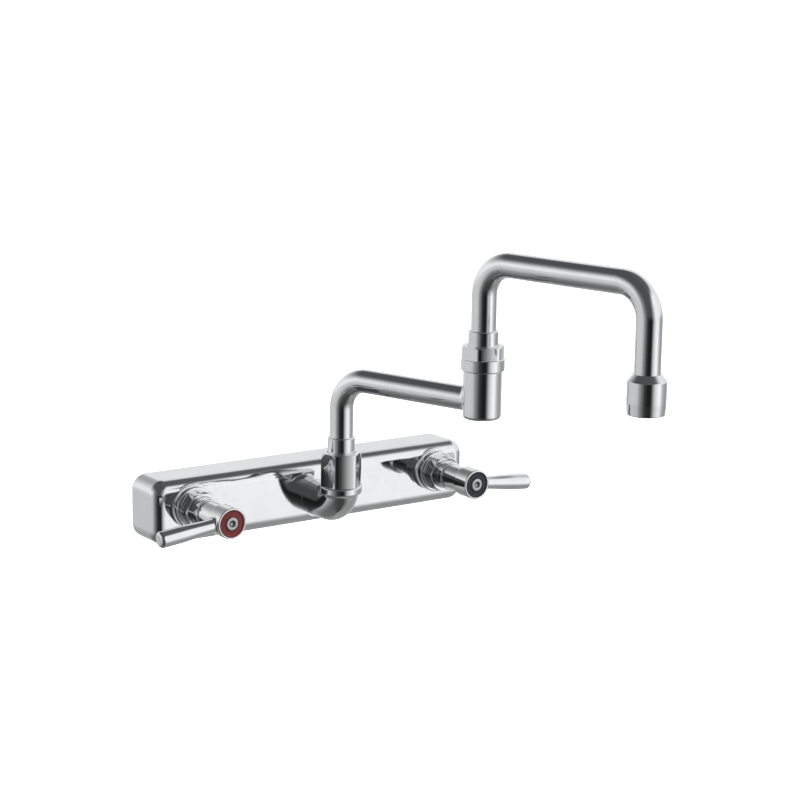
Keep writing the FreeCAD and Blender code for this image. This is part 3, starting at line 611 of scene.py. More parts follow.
def revolved(corners: Sequence[Corner], origin: Sequence[float], axis: Sequence[float] = (0, 0, 1),
             closed: bool = False, bend: float = 4.5) -> Distance:
    """Signed distance to a turned solid.

    Args:
        corners: the half section's corners, as soften takes them.
        origin: a point on the axis.
        axis: the axis's direction.
        closed: whether the section closes on itself; an open one starts and ends on the axis.
        bend: the largest turn between two points of a fillet, in degrees.

    Returns:
        A function from points to distances, below 0 inside.
    """
    section = soften(corners, closed, bend)
    base, line = np.array(origin, float), np.array(axis, float)
    line /= np.linalg.norm(line)
    ends = np.roll(section, -1, axis=0) if closed else section[1:]
    pairs = list(zip(section[:, :2].tolist(), ends[:, :2].tolist()))

    def measure(points: np.ndarray) -> np.ndarray:
        """Distance of each point.

        Args:
            points: the points, in millimetres.

        Returns:
            Their distances, below 0 inside.
        """
        rel = points - base
        along = rel @ line
        out = np.sqrt(np.maximum((rel * rel).sum(1) - along * along, 0))
        best = np.full(len(points), np.inf)
        inside = np.zeros(len(points), bool)
        for (r0, a0), (r1, a1) in pairs:
            dr, da = r1 - r0, a1 - a0
            square = dr * dr + da * da
            if square < 1e-12:
                continue
            share = np.clip(((along - a0) * da + (out - r0) * dr) / square, 0, 1)
            best = np.minimum(best, (along - a0 - share * da) ** 2 + (out - r0 - share * dr) ** 2)
            if abs(da) > 1e-12:
                inside ^= ((a0 > along) != (a1 > along)) & (r0 + (along - a0) * dr / da > out)
        return np.where(inside, -1.0, 1.0) * np.sqrt(best)
    return measure


def fused(first: Distance, second: Distance, blend: float) -> Distance:
    """The two solids as one, with a fillet of about blend where they meet."""
    return lambda points: soft_lower(first(points), second(points), blend)


def slope_of(distance: Distance, points: np.ndarray, reach: float = 0.03) -> np.ndarray:
    """How fast a distance grows along each axis."""
    steps = np.eye(3) * reach
    return np.stack([(distance(points + s) - distance(points - s)) / (2 * reach) for s in steps], -1)


def netted(distance: Distance, low: Sequence[float], high: Sequence[float], step: float) -> Skin:
    """Skin a solid that is given by its signed distance.

    Args:
        distance: the solid.
        low: lowest corner of the space that holds it.
        high: highest corner of that space.
        step: the size of a cell of the net.

    Returns:
        A closed skin of quads that lies on the solid, with the solid's own normals.
    """
    counts = np.ceil((np.array(high) - np.array(low)) / step).astype(int) + 1
    lines = [low[axis] + step * np.arange(counts[axis]) for axis in range(3)]
    grid = np.stack(np.meshgrid(*lines, indexing="ij"), -1)
    value = distance(grid.reshape(-1, 3)).reshape(counts)
    total, hits = np.zeros((*(counts - 1), 3)), np.zeros(counts - 1)
    crossings = []
    for axis in range(3):
        order = (axis, (axis + 1) % 3, (axis + 2) % 3)
        turned = np.moveaxis(value, order, (0, 1, 2))
        spots = np.moveaxis(grid, order, (0, 1, 2))[:-1]
        first, second = turned[:-1], turned[1:]
        cross = (first < 0) != (second < 0)
        share = np.where(cross, first / np.where(cross, first - second, 1), 0)
        place = spots.copy()
        place[..., axis] += share * step
        place *= cross[..., None]
        sums, marks = np.moveaxis(total, order, (0, 1, 2)), np.moveaxis(hits, order, (0, 1, 2))
        wide, deep = cross.shape[1] - 1, cross.shape[2] - 1
        for one in (0, 1):
            for two in (0, 1):
                sums += place[:, one:one + wide, two:two + deep]
                marks += cross[:, one:one + wide, two:two + deep]
        crossings.append((order, cross, first < 0))
    active = hits > 0
    index = np.full(hits.shape, -1)
    index[active] = np.arange(active.sum())
    points = total[active] / hits[active][:, None]
    faces = []
    for order, cross, outward in crossings:
        cells = np.moveaxis(index, order, (0, 1, 2))
        inner = cross[:, 1:-1, 1:-1]
        i, j, k = (part + shift for part, shift in zip(np.nonzero(inner), (0, 1, 1)))
        quads = np.stack((cells[i, j - 1, k - 1], cells[i, j, k - 1], cells[i, j, k], cells[i, j - 1, k]), -1)
        flip = ~outward[i, j, k]
        quads[flip] = quads[flip][:, ::-1]
        faces.append(quads)
    for _ in range(3):
        slope = slope_of(distance, points)
        pull = -distance(points) / np.maximum((slope * slope).sum(1), 0.05)
        points = points + np.clip(pull, -0.4 * step, 0.4 * step)[:, None] * slope
    slope = slope_of(distance, points)
    normals = slope / np.maximum(np.linalg.norm(slope, axis=1), 1e-9)[:, None]
    return Skin(points, [tuple(face) for face in np.concatenate(faces).tolist()], normals)


def carved(skin: Skin, bosses: Sequence[Skin], cutters: Sequence[Skin], name: str) -> bpy.types.Mesh:
    """Add closed skins to a skin and cut others out of it.

    Args:
        skin: what is added to and cut.
        bosses: the closed shapes to add, one after another.
        cutters: the closed shapes to take away after that.
        name: the name of the mesh that is left.

    Returns:
        The carved mesh.
    """
    scene = bpy.context.scene
    block = bpy.data.objects.new("block", skin.mesh(name))
    scene.collection.objects.link(block)
    tools = []
    for number, shape in enumerate([*bosses, *cutters]):
        tool = bpy.data.objects.new(f"tool_{number}", shape.mesh(f"tool_{number}"))
        scene.collection.objects.link(tool)
        modifier = block.modifiers.new(f"carve_{number}", "BOOLEAN")
        modifier.object = tool
        modifier.operation = "UNION" if number < len(bosses) else "DIFFERENCE"
        modifier.solver = "EXACT"
        tools.append(tool)
    graph = bpy.context.evaluated_depsgraph_get()
    mesh = bpy.data.meshes.new_from_object(block.evaluated_get(graph))
    for item in [block, *tools]:
        bpy.data.objects.remove(item)
    mesh.name = name
    mesh.shade_smooth()
    mesh.set_sharp_from_angle(angle=math.radians(28))
    return mesh


def box_of(node: str) -> tuple[Vector, Vector]:
    """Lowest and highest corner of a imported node, in millimetres."""
    low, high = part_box(node)
    return low / MM, high / MM


def axis_of(node: str) -> Vector:
    """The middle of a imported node's box, in millimetres."""
    low, high = box_of(node)
    return (low + high) / 2


def upright_at(node: str) -> Matrix:
    """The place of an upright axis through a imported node."""
    spot = axis_of(node)
    return Matrix.Translation((spot.x, spot.y, 0.0))


def level_at(x: float, y: float, z: float) -> Matrix:
    """The place of an axis that starts at a point and points straight away from the wall."""
    return Matrix.Translation((x, y, z)) @ Matrix.Rotation(math.pi / 2, 4, "X")


def kept(name: str, form: Skin | bpy.types.Mesh, body: str, stands_for: Sequence[str], *finishes: Finish,
         slot: str = "chrome") -> None:
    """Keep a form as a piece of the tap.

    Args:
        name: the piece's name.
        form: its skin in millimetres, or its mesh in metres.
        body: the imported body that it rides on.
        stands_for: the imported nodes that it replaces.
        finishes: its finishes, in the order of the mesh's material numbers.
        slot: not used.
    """
    mesh = form.mesh(name) if isinstance(form, Skin) else form
    item = bpy.data.objects.new(name, mesh)
    bpy.context.scene.collection.objects.link(item)
    for finish in finishes:
        mesh.materials.append(finish.material())
    if not mesh.has_custom_normals:
        even = item.modifiers.new("even_shading", "WEIGHTED_NORMAL")
        even.keep_sharp = True
        even.weight = 100
    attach(item, body)
    if stands_for:
        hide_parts(*stands_for)
    size = " x ".join(f"{side / MM:.1f}" for side in np.ptp([v.co for v in mesh.vertices], axis=0))
    LOG.info("%s on %s: %s mm, %d faces", name, body, size, len(mesh.polygons))


def painted(nodes: Sequence[str], finish: Finish) -> None:
    """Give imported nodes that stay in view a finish.

    Args:
        nodes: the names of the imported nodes.
        finish: the finish that they get.
    """
    for node in nodes:
        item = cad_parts[node]
        item.data.materials.clear()
        item.data.materials.append(finish.material())
        LOG.info("%s stays, finished as %s", node, finish.name)


@dataclass
class BodyCasting:
    """The long mirror-faced casting, its hollow back and its threaded inlets."""

    corner: float = 10.6
    front_edge: float = 8.5
    back_edge: float = 5.0
    valve_boss: float = 16.4
    outlet_boss: float = 14.6
    boss_depth: float = 9.0
    boss_edge: float = 0.9
    hollow_start: float = 20.0
    hollow_end: float = 85.8
    hollow_half_height: float = 14.5
    hollow_depth: float = 15.0
    hollow_corner: float = 6.0
    hollow_floor_edge: float = 3.0
    draught: float = 0.6
    inlet_radius: float = 9.3
    inlet_root: float = 10.2
    inlet_depth: float = 14.0
    pitch: float = 1.814
    port_radius: float = 5.0
    chamber_radius: float = 11.0
    chamber_floor: float = 17.0
    mouth_radius: float = 13.0
    mouth_depth: float = 8.0
    tail_radius: float = 9.3
    tail_depth: float = 8.6
    tail_drop: float = 5.0
    feed_radius: float = 6.0
    gallery_place: float = 25.0

    def loop(self, half_length: float, half_height: float, radius: float, y: float) -> np.ndarray:
        """One rounded rectangle of points that faces the wall plane.

        Args:
            half_length: half of its length along X.
            half_height: half of its height.
            radius: the radius of its corners.
            y: how far it is from the wall plane.

        Returns:
            The loop's points, evenly matched from loop to loop.
        """
        spots = []
        for quarter, (sx, sz) in enumerate(((1, 1), (-1, 1), (-1, -1), (1, -1))):
            for angle in quarter_turn(17) + quarter * math.pi / 2:
                spots.append((sx * (half_length - radius) + radius * math.cos(angle), y,
                              sz * (half_height - radius) + radius * math.sin(angle)))
        return np.array(spots)

    def block(self) -> Skin:
        """The outside of the casting as a closed skin.

        Returns:
            The skin.
        """
        low, high = box_of("body_casting")
        length, height, depth = (high.x - low.x) / 2, (high.z - low.z) / 2, -low.y
        back, front = self.back_edge, self.front_edge
        edges = [(back * (1 - math.sin(a)), -back * (1 - math.cos(a))) for a in quarter_turn(13)]
        edges += [(front * (1 - math.cos(a)), front * (1 - math.sin(a)) - depth) for a in quarter_turn(31)]
        rings = [self.loop(length - inset, height - inset, self.corner - inset, y) for inset, y in edges]
        return looped(np.array(rings) + np.array((0.0, 0.0, (low.z + high.z) / 2)), closed=False)

    def boss(self, radius: float, x: float, z: float) -> Skin:
        """A boss with a rounded rim, flush with the front face, ready to add.

        Args:
            radius: the boss's radius.
            x: its axis along the body.
            z: its axis's height.

        Returns:
            The skin of the boss.
        """
        face = -box_of("body_casting")[0].y - 0.02
        corners = [(0.0, face - self.boss_depth), (radius, face - self.boss_depth),
                   (radius, face, self.boss_edge), (0.0, face)]
        return spun(corners, closed=False, around=144).placed(level_at(x, 0.0, z))

    def hollow(self, sign: int) -> Skin:
        """One hollow of the back, with draught and a rounded floor, ready to cut.

        Args:
            sign: -1 for the left hollow, 1 for the right one.

        Returns:
            The cutter.
        """
        half = (self.hollow_end - self.hollow_start) / 2
        middle = np.array((sign * (self.hollow_start + half), 0.0, axis_of("body_casting").z))
        rings = [self.loop(half, self.hollow_half_height, self.hollow_corner, 1.0) + middle]
        for angle in quarter_turn(8):
            inset = self.draught + self.hollow_floor_edge * (1 - math.cos(angle))
            y = -self.hollow_depth + self.hollow_floor_edge * (1 - math.sin(angle))
            height, corner = self.hollow_half_height - inset, self.hollow_corner - inset
            rings.append(self.loop(half - inset, height, corner, y) + middle)
        return looped(np.array(rings), closed=False)

    def drill(self, radius: float, x: float, z: float, start: float, end: float) -> Skin:
        """A round cutter along Y from one depth to another."""
        return spun(rod(radius, start, end), closed=False, around=72).placed(level_at(x, 0.0, z))

    def thread(self, x: float, z: float) -> Skin:
        """The parallel thread of one inlet, as a liner with a real helix.

        Args:
            x: the inlet's axis along the body.
            z: its axis's height.

        Returns:
            The liner's skin.
        """
        corners = [(self.inlet_root + 0.1, 0.02), (self.inlet_root + 0.1, self.inlet_depth)]
        corners += [(self.inlet_root, float(h)) for h in np.linspace(self.inlet_depth, 0.35, 92)]

        def cut(radius: np.ndarray, angle: np.ndarray, height: np.ndarray) -> np.ndarray:
            """Follow the helix on the inner wall.

            Args:
                radius: the plain radius of each point.
                angle: its angle round the inlet's axis.
                height: its depth from the wall plane.

            Returns:
                The radius with the thread on it.
            """
            turns = np.mod(height / self.pitch - angle / (2 * math.pi), 1.0)
            crest = np.clip(1.6 - 4.2 * np.abs(turns - 0.5), 0, 1)
            entry = np.clip((height - 0.35) / 1.2, 0, 1)
            deep = (self.inlet_root - self.inlet_radius) * crest * entry
            return np.where(radius > self.inlet_root + 0.05, radius, radius - deep)
        return spun(corners, around=120, shape=cut).placed(level_at(x, 0.0, z))

    def build(self) -> None:
        """Make the casting and its inlets."""
        low, high = box_of("body_casting")
        depth = -low.y
        tail = depth - self.tail_depth
        bosses = [self.boss(self.outlet_boss, 0.0, -self.tail_drop)]
        drills = []
        for side in Side:
            spot = axis_of(f"{side.word}_bonnet")
            bosses.append(self.boss(self.valve_boss, spot.x, spot.z))
            drills += [(radius, spot.x, spot.z, start, end) for radius, start, end in (
                (self.inlet_root, -1.0, self.inlet_depth),
                (self.port_radius, self.inlet_depth - 1, self.chamber_floor + 1),
                (self.chamber_radius, self.chamber_floor, depth + 1),
                (self.mouth_radius, depth - self.mouth_depth, depth + 1))]
        drills.append((self.tail_radius, 0.0, -self.tail_drop, tail, depth + 1))
        drills.append((self.feed_radius, 0.0, -self.tail_drop, self.gallery_place, tail + 1))
        cutters = [self.hollow(-1), self.hollow(1), *(self.drill(*place) for place in drills)]
        mesh = carved(self.block(), bosses, cutters, "body_shell")
        middle, reach = (low.z + high.z) / 2, high.x - self.corner - 3.0
        for face in mesh.polygons:
            spot = face.center / MM
            inner = abs(spot.z - middle) < self.hollow_half_height + 1 and abs(spot.x) < reach
            face.material_index = int(spot.y > -0.2 or (inner and spot.y > -self.hollow_depth - 4))
        kept("body_shell", mesh, "faucet_body", ["body_casting"], CHROME_CAST, CAST_BACK)
        for side in Side:
            spot = axis_of(f"{side.word}_bonnet")
            thread = self.thread(spot.x, spot.z)
            kept(f"{side.word}_inlet_thread", thread, "faucet_body", [], BRASS_VALVE, slot="brass")


@dataclass
class HexNut:
    """A swivel nut or locknut with bevelled corners, and a round foot where it has one."""

    flats: float
    bottom: float
    top: float
    bores: tuple[tuple[float, float], ...]
    foot_radius: float = 0.0
    foot_top: float = 0.0
    bevel: float = 1.3
    bevel_height: float = 1.2
    pillow: float = 0.6
    turn: float = 0.0

    def corners(self) -> list[Corner]:
        """Half section of the nut, from its lowest bore outwards and back down.

        Returns:
            The corners of the section.
        """
        corner = self.flats / 2 / math.cos(math.pi / 6)
        rows: list[Corner] = [(self.bores[0][0], self.bottom, 0.15)]
        start = self.bottom
        if self.foot_radius:
            rows += [(self.foot_radius, self.bottom, 0.5), (self.foot_radius, self.foot_top - 0.01, 0.3)]
            start = self.foot_top
        rows.append((corner - 0.5, start, 0.0, self.flats))
        rows.append((corner + 0.3, start + 0.7, 0.0, self.flats))
        rows += [(corner + 0.3, z, 0.0, self.flats) for z in np.linspace(start + 1.0, self.top - 2.6, 8)]
        for share in np.linspace(0, 1, 11):
            reach = corner + self.bevel * (1 - 2 * share)
            rows.append((reach, self.top - 2 * self.bevel_height * (1 - share), 0.0, self.flats))
        rows.append((corner - self.bevel - 0.35, self.top, 0.0, self.flats))
        previous = self.top
        for radius, low in reversed(self.bores):
            rows += [(radius, previous, 0.2), (radius, low, 0.0)]
            previous = low
        rows.pop()
        return rows

    def skin(self) -> Skin:
        """The nut about the upright axis through the origin."""
        return spun(self.corners(), around=288, turn=self.turn, pillow=self.pillow)


@dataclass
class OutletElbow:
    """The bend that brings the water out of the body and up to the spout."""

    barrel: float = 12.7
    bend: float = 15.0
    drop: float = 5.0
    rim: float = 14.7
    neck: float = 11.4
    well: float = 8.58
    well_depth: float = 12.0
    rim_low: float = 5.0
    rim_high: float = 10.0
    tail_radius: float = 9.2
    tail: float = 8.5
    blend: float = 2.4
    cell: float = 0.5

    def sweep(self, centre: Vector, far: float) -> Distance:
        """Signed distance to the round bar that runs level from the body and bends upright.

        Args:
            centre: a point on the riser's axis.
            far: how far behind that axis the bar starts.

        Returns:
            A function from points to distances, below 0 inside.
        """
        level = self.bend - self.drop

        def measure(points: np.ndarray) -> np.ndarray:
            """Distance of each point.

            Args:
                points: the points, in millimetres.

            Returns:
                Their distances, below 0 inside.
            """
            x, y, z = points[:, 0] - centre.x, points[:, 1] - centre.y, points[:, 2]
            curved = np.hypot(y - self.bend, z - level) - self.bend
            off = np.where(y > self.bend, z + self.drop, np.where(z > level, y, curved))
            return np.maximum(np.hypot(x, off) - self.barrel, np.maximum(y - far, z - level + 0.2))
        return measure

    def build(self) -> None:
        """Make the elbow with its rim and neck."""
        low, high = box_of("outlet_elbow")
        centre = axis_of("base_swivel_nut")
        face = high.y - self.tail
        floor = high.z - self.well_depth
        upright = revolved([
            (0.0, self.rim_low), (self.rim, self.rim_low, 1.2), (self.rim, self.rim_high, 0.8),
            (self.neck, self.rim_high, 0.3), (self.neck, high.z, 0.4), (self.well, high.z),
            (self.well, floor), (0.0, floor)], (centre.x, centre.y, 0.0))
        screwed = revolved(rod(self.tail_radius, -1.0, self.tail), (centre.x, face, -self.drop), (0, 1, 0))
        solid = fused(upright, self.sweep(centre, face - centre.y), self.blend)
        hole = revolved(rod(self.well, floor, high.z + 5), (centre.x, centre.y, 0.0))
        bored = lambda points: np.maximum(np.minimum(solid(points), screwed(points)), -hole(points))
        skin = netted(bored, low - Vector((1, 1, 1)), high + Vector((1, 1, 1)), self.cell)
        kept("elbow_casting", skin, "faucet_body", ["outlet_elbow"], CHROME_TURNED)


@dataclass
class Swivel:
    """The nut and collar at the foot of a riser, over the brass spigot and its rings."""

    name: str
    collar_radius: float
    flats: float = 26.0
    neck: float = 11.4
    foot_radius: float = 0.0
    foot_height: float = 0.0
    turn: float = 40.0
    tube: float = 8.25

    def build(self, nut_body: str, arm_body: str) -> None:
        """Make the swivel's nut and collar and finish its inner pieces.

        Args:
            nut_body: the body that the nut rides on.
            arm_body: the body that the collar rides on.
        """
        low, high = box_of(f"{self.name}_swivel_nut")
        bearing_top = box_of(f"{self.name}_bearing_ring")[1].z
        bores = ((self.neck + 0.1, low.z), (self.collar_radius + 0.3, bearing_top))
        foot_top = low.z + self.foot_height
        nut = HexNut(self.flats, low.z, high.z, bores, self.foot_radius, foot_top, turn=self.turn)
        place = upright_at(f"{self.name}_swivel_nut")
        ring = nut.skin().placed(place)
        kept(f"{self.name}_nut", ring, nut_body, [f"{self.name}_swivel_nut"], CHROME_TURNED)
        foot, top = box_of(f"{self.name}_collar")
        sleeve = spun([
            (self.tube + 0.05, foot.z), (self.collar_radius, foot.z, 0.2), (self.collar_radius, top.z, 0.7),
            (self.tube + 0.05, top.z, 0.15)]).placed(place)
        kept(f"{self.name}_sleeve", sleeve, arm_body, [f"{self.name}_collar"], CHROME_TURNED)
        painted([f"{self.name}_spigot"], BRASS)
        painted([f"{self.name}_lower_ring", f"{self.name}_upper_ring"], RUBBER)
        painted([f"{self.name}_bearing_ring"], ACETAL)


@dataclass
class SpoutArms:
    """The two bent tubes, the joint housing between them and the outlet fitting."""

    tube: float = 8.25
    bore: float = 7.05
    bend: float = 22.0
    housing: float = 12.75
    housing_edge: float = 2.6
    housing_bore: float = 8.58
    housing_floor: float = 3.6
    housing_shoulder: float = 7.6
    neck: float = 11.4
    braze: float = 2.2
    collar_reach: float = 1.6
    shroud: float = 12.4
    mouth: float = 11.9
    taper: float = 7.6
    cone: float = 4.4
    lip: float = 2.0
    recess: float = 12.0
    insert: float = 10.3
    cell: float = 0.5

    def build(self) -> None:
        """Make the tubes, the housing and the outlet."""
        riser, joint, outlet = axis_of("base_collar"), axis_of("joint_collar"), axis_of("outlet_fitting")
        self.first_arm(riser, joint)
        self.cup(riser, joint)
        self.second_arm(joint, outlet)
        self.outlet()

    def first_arm(self, riser: Vector, joint: Vector) -> None:
        """The tube from the base swivel to the joint housing.

        Args:
            riser: a point on the base swivel's axis.
            joint: a point on the joint's axis.
        """
        low, high = box_of("arm_one_tube")
        path = bent_path(Vector((riser.x, riser.y, low.z)), joint, high.z - self.tube, self.bend,
                         self.housing_bore + 0.6)
        tube = swept(path, self.tube, self.bore)
        kept("first_arm_tube", tube, "first_arm", ["arm_one_tube"], CHROME_TUBE)

    def cup(self, riser: Vector, joint: Vector) -> None:
        """The joint housing, with the brazed collar around the first tube.

        Args:
            riser: a point on the base swivel's axis.
            joint: a point on the joint's axis.
        """
        low, high = box_of("joint_housing")
        level = box_of("arm_one_tube")[1].z - self.tube
        shoulder = high.z - self.housing_shoulder
        upright = revolved([
            (0.0, low.z), (self.housing, low.z, self.housing_edge), (self.housing, shoulder, 0.4),
            (self.neck, shoulder, 0.2), (self.neck, high.z, 0.4), (self.housing_bore, high.z),
            (self.housing_bore, low.z + self.housing_floor), (0.0, low.z + self.housing_floor)],
            (joint.x, joint.y, 0.0))
        end = self.housing + self.collar_reach
        stub = revolved(rod(self.tube + 0.02, self.housing_bore + 1.0, end), (joint.x, joint.y, level),
                        (riser.x - joint.x, riser.y - joint.y, 0.0))
        room = end + 1.5
        skin = netted(fused(upright, stub, self.braze), (joint.x - room, joint.y - room, low.z - 1.2),
                      (joint.x + room, joint.y + room, high.z + 1.2), self.cell)
        kept("joint_cup", skin, "first_arm", ["joint_housing"], CHROME_TURNED)

    def second_arm(self, joint: Vector, outlet: Vector) -> None:
        """The tube from the joint to the outlet.

        Args:
            joint: a point on the joint's axis.
            outlet: a point on the outlet's axis.
        """
        high = box_of("arm_two_tube")[1]
        start = box_of("joint_spigot")[1].z - 8.0
        end = box_of("outlet_fitting")[0].z + self.recess + self.lip
        foot = Vector((joint.x, joint.y, start))
        path = bent_path(foot, outlet, high.z - self.tube, self.bend, drop_to=end)
        tube = swept(path, self.tube, self.bore)
        kept("second_arm_tube", tube, "second_arm", ["arm_two_tube"], CHROME_TUBE)

    def outlet(self) -> None:
        """The outlet fitting, its washer and its flow straightener."""
        low, high = box_of("outlet_fitting")
        ledge = low.z + self.recess
        shroud = spun([
            (self.insert, low.z, 0.15), (self.mouth, low.z, 0.6), (self.shroud, low.z + self.taper, 3.0),
            (self.shroud, high.z - self.cone, 0.7), (self.tube + 0.65, high.z, 0.25),
            (self.tube + 0.05, high.z), (self.tube + 0.05, ledge + self.lip), (self.bore, ledge + self.lip),
            (self.bore, ledge), (self.insert, ledge)], around=160).placed(upright_at("outlet_fitting"))
        kept("outlet_shroud", shroud, "second_arm", ["outlet_fitting"], CHROME_TURNED)
        painted(["outlet_washer"], RUBBER)
        painted(["flow_straightener"], DARK_ACETAL)


@dataclass
class Valve:
    """One valve as it shows: bonnet, locknut, lever handle, index ring and screw."""

    side: Side
    flange: float = 15.0
    base: float = 6.0
    barrel: float = 10.2
    top: float = 24.0
    bore: float = 8.5
    mouth: float = 12.9
    mouth_depth: float = 8.0
    chamber: float = 11.0
    flats: float = 24.0
    nut_height: float = 10.0
    skirt: float = 9.2
    skirt_bore: float = 7.8
    skirt_start: float = 24.3
    hub: float = 10.75
    hub_start: float = 40.0
    hub_front: float = 54.0
    recess: float = 9.3
    recess_depth: float = 2.0
    socket_radius: float = 3.75
    socket_foot: float = 30.0
    socket_top: float = 44.0
    lever_place: float = 47.0
    lever_root: float = 4.8
    lever_grip: float = 5.7
    lever_length: float = 52.0
    swell_start: float = 14.0
    swell_length: float = 23.0
    lever_droop: float = 6.0
    index_outer: float = 9.2
    index_bore: float = 4.8
    index_height: float = 1.7
    screw_head: float = 4.7
    screw_height: float = 2.2
    screw_key: float = 4.0
    screw_key_depth: float = 1.3
    screw_shank: float = 1.55
    screw_length: float = 16.0
    cell: float = 0.45

    def place(self) -> Matrix:
        """The valve's axis, pointing away from the wall, from the body's face.

        Returns:
            The matrix from the valve's own frame to the tap's, in millimetres.
        """
        spot = axis_of(f"{self.side.word}_bonnet_locknut")
        face = box_of("body_casting")[0].y
        return level_at(spot.x, face, spot.z)

    def build(self) -> None:
        """Make the valve's pieces and finish its inner ones."""
        word = self.side.word
        place = self.place()
        fixed, turning = "faucet_body", f"{word}_valve"
        index = RED_INDEX if self.side is Side.HOT else BLUE_INDEX
        nut = HexNut(self.flats, self.base, self.base + self.nut_height, ((self.barrel + 0.1, self.base),))
        for name, skin, body, node, finish, slot in (
                ("bonnet_turned", self.bonnet(), fixed, "bonnet", CHROME_VALVE, "chrome"),
                ("locknut", nut.skin(), fixed, "bonnet_locknut", CHROME_VALVE, "chrome"),
                ("lever", self.lever(), turning, "lever_handle", CHROME_VALVE, "chrome"),
                ("index", self.index(), turning, "index_ring", index, f"{word}_index"),
                ("screw", self.screw(), turning, "handle_screw", STEEL, "steel")):
            kept(f"{word}_{name}", skin.placed(place), body, [f"{word}_{node}"], finish, slot=slot)
        painted([f"{word}_cartridge_shell", f"{word}_stem"], BRASS_VALVE)
        painted([f"{word}_fixed_disc", f"{word}_moving_disc"], CERAMIC)
        painted([f"{word}_seat_seal", f"{word}_stem_ring"], RUBBER)

    def bonnet(self) -> Skin:
        """The bonnet, from its foot in the casting to the edge of its barrel.

        Returns:
            The skin, about the valve's own axis.
        """
        return spun([
            (self.chamber, -self.mouth_depth), (self.mouth, -self.mouth_depth, 0.3), (self.mouth, 0.0),
            (self.flange, 0.0), (self.flange, self.base, 0.9), (self.barrel, self.base, 0.3),
            (self.barrel, self.top, 0.6), (self.bore, self.top, 0.2), (self.bore, 0.0), (self.chamber, 0.0)])

    def index(self) -> Skin:
        """The coloured ring in the hub's recess, dished between its two lips.

        Returns:
            The skin, about the valve's own axis.
        """
        seat, outer, bore = self.hub_front - self.recess_depth, self.index_outer, self.index_bore
        top = seat + self.index_height
        dish = top - 0.25
        return spun([
            (bore, seat), (outer, seat), (outer, top, 0.35), (outer - 0.7, top, 0.2),
            (outer - 1.0, dish, 0.3), (bore + 0.9, dish, 0.3), (bore + 0.6, top, 0.2), (bore, top, 0.3)],
            around=120)

    def screw(self) -> Skin:
        """The screw that holds the handle, with a hexagonal socket in its head.

        Returns:
            The skin, about the valve's own axis.
        """
        seat, key = self.hub_front - self.recess_depth, self.screw_key
        top, reach, tip = seat + self.screw_height, 0.58 * self.screw_key, seat - self.screw_length
        floor = top - self.screw_key_depth
        return spun([
            (0.0, floor), (reach, floor, 0.0, key), (reach, top - 0.2, 0.0, key), (reach + 0.23, top, 0.1),
            (self.screw_head, top, 0.9), (self.screw_head, seat, 0.2), (self.screw_shank, seat),
            (self.screw_shank, tip + 0.4, 0.3), (0.0, tip)], closed=False, around=96)

    def lever(self) -> Skin:
        """The hub and its lever as one casting.

        Returns:
            The skin, about the valve's own axis.
        """
        seat = self.hub_front - self.recess_depth
        hole, socket = self.screw_shank + 0.3, self.socket_radius
        hub = revolved([
            (self.skirt_bore, self.skirt_start), (self.skirt, self.skirt_start, 0.3),
            (self.skirt, self.hub_start - 1.5, 0.5), (self.hub, self.hub_start, 0.6),
            (self.hub, self.hub_front, 0.8), (self.recess, self.hub_front, 0.3),
            (self.recess, seat, 0.2), (hole, seat), (hole, self.socket_top), (socket, self.socket_top),
            (socket, self.socket_foot), (self.skirt_bore, self.socket_foot)],
            (0, 0, 0), closed=True, bend=9.0)
        heading = math.radians(-self.lever_droop if self.side is Side.COLD else 180 + self.lever_droop)
        run = np.linspace(0, 1, 15)
        swell = run * run * (3 - 2 * run)
        rows: list[Corner] = [(0.0, self.hub - 0.6), (self.lever_root, self.hub - 0.6)]
        rows += [(self.lever_root + (self.lever_grip - self.lever_root) * float(s),
                  self.swell_start + self.swell_length * float(r)) for r, s in zip(run, swell)]
        rows += [(self.lever_grip, self.lever_length, 2.6), (0.0, self.lever_length)]
        bar = revolved(rows, (0, 0, self.lever_place), (math.cos(heading), math.sin(heading), 0))
        tip = Vector((math.cos(heading), math.sin(heading))) * self.lever_length
        room = self.hub + 1.0
        low = (min(-room, tip.x - 2), min(-room, tip.y - 7), self.skirt_start - 1)
        high = (max(room, tip.x + 2), max(room, tip.y + 7), self.hub_front + 1)
        return netted(fused(hub, bar, 1.8), low, high, self.cell)


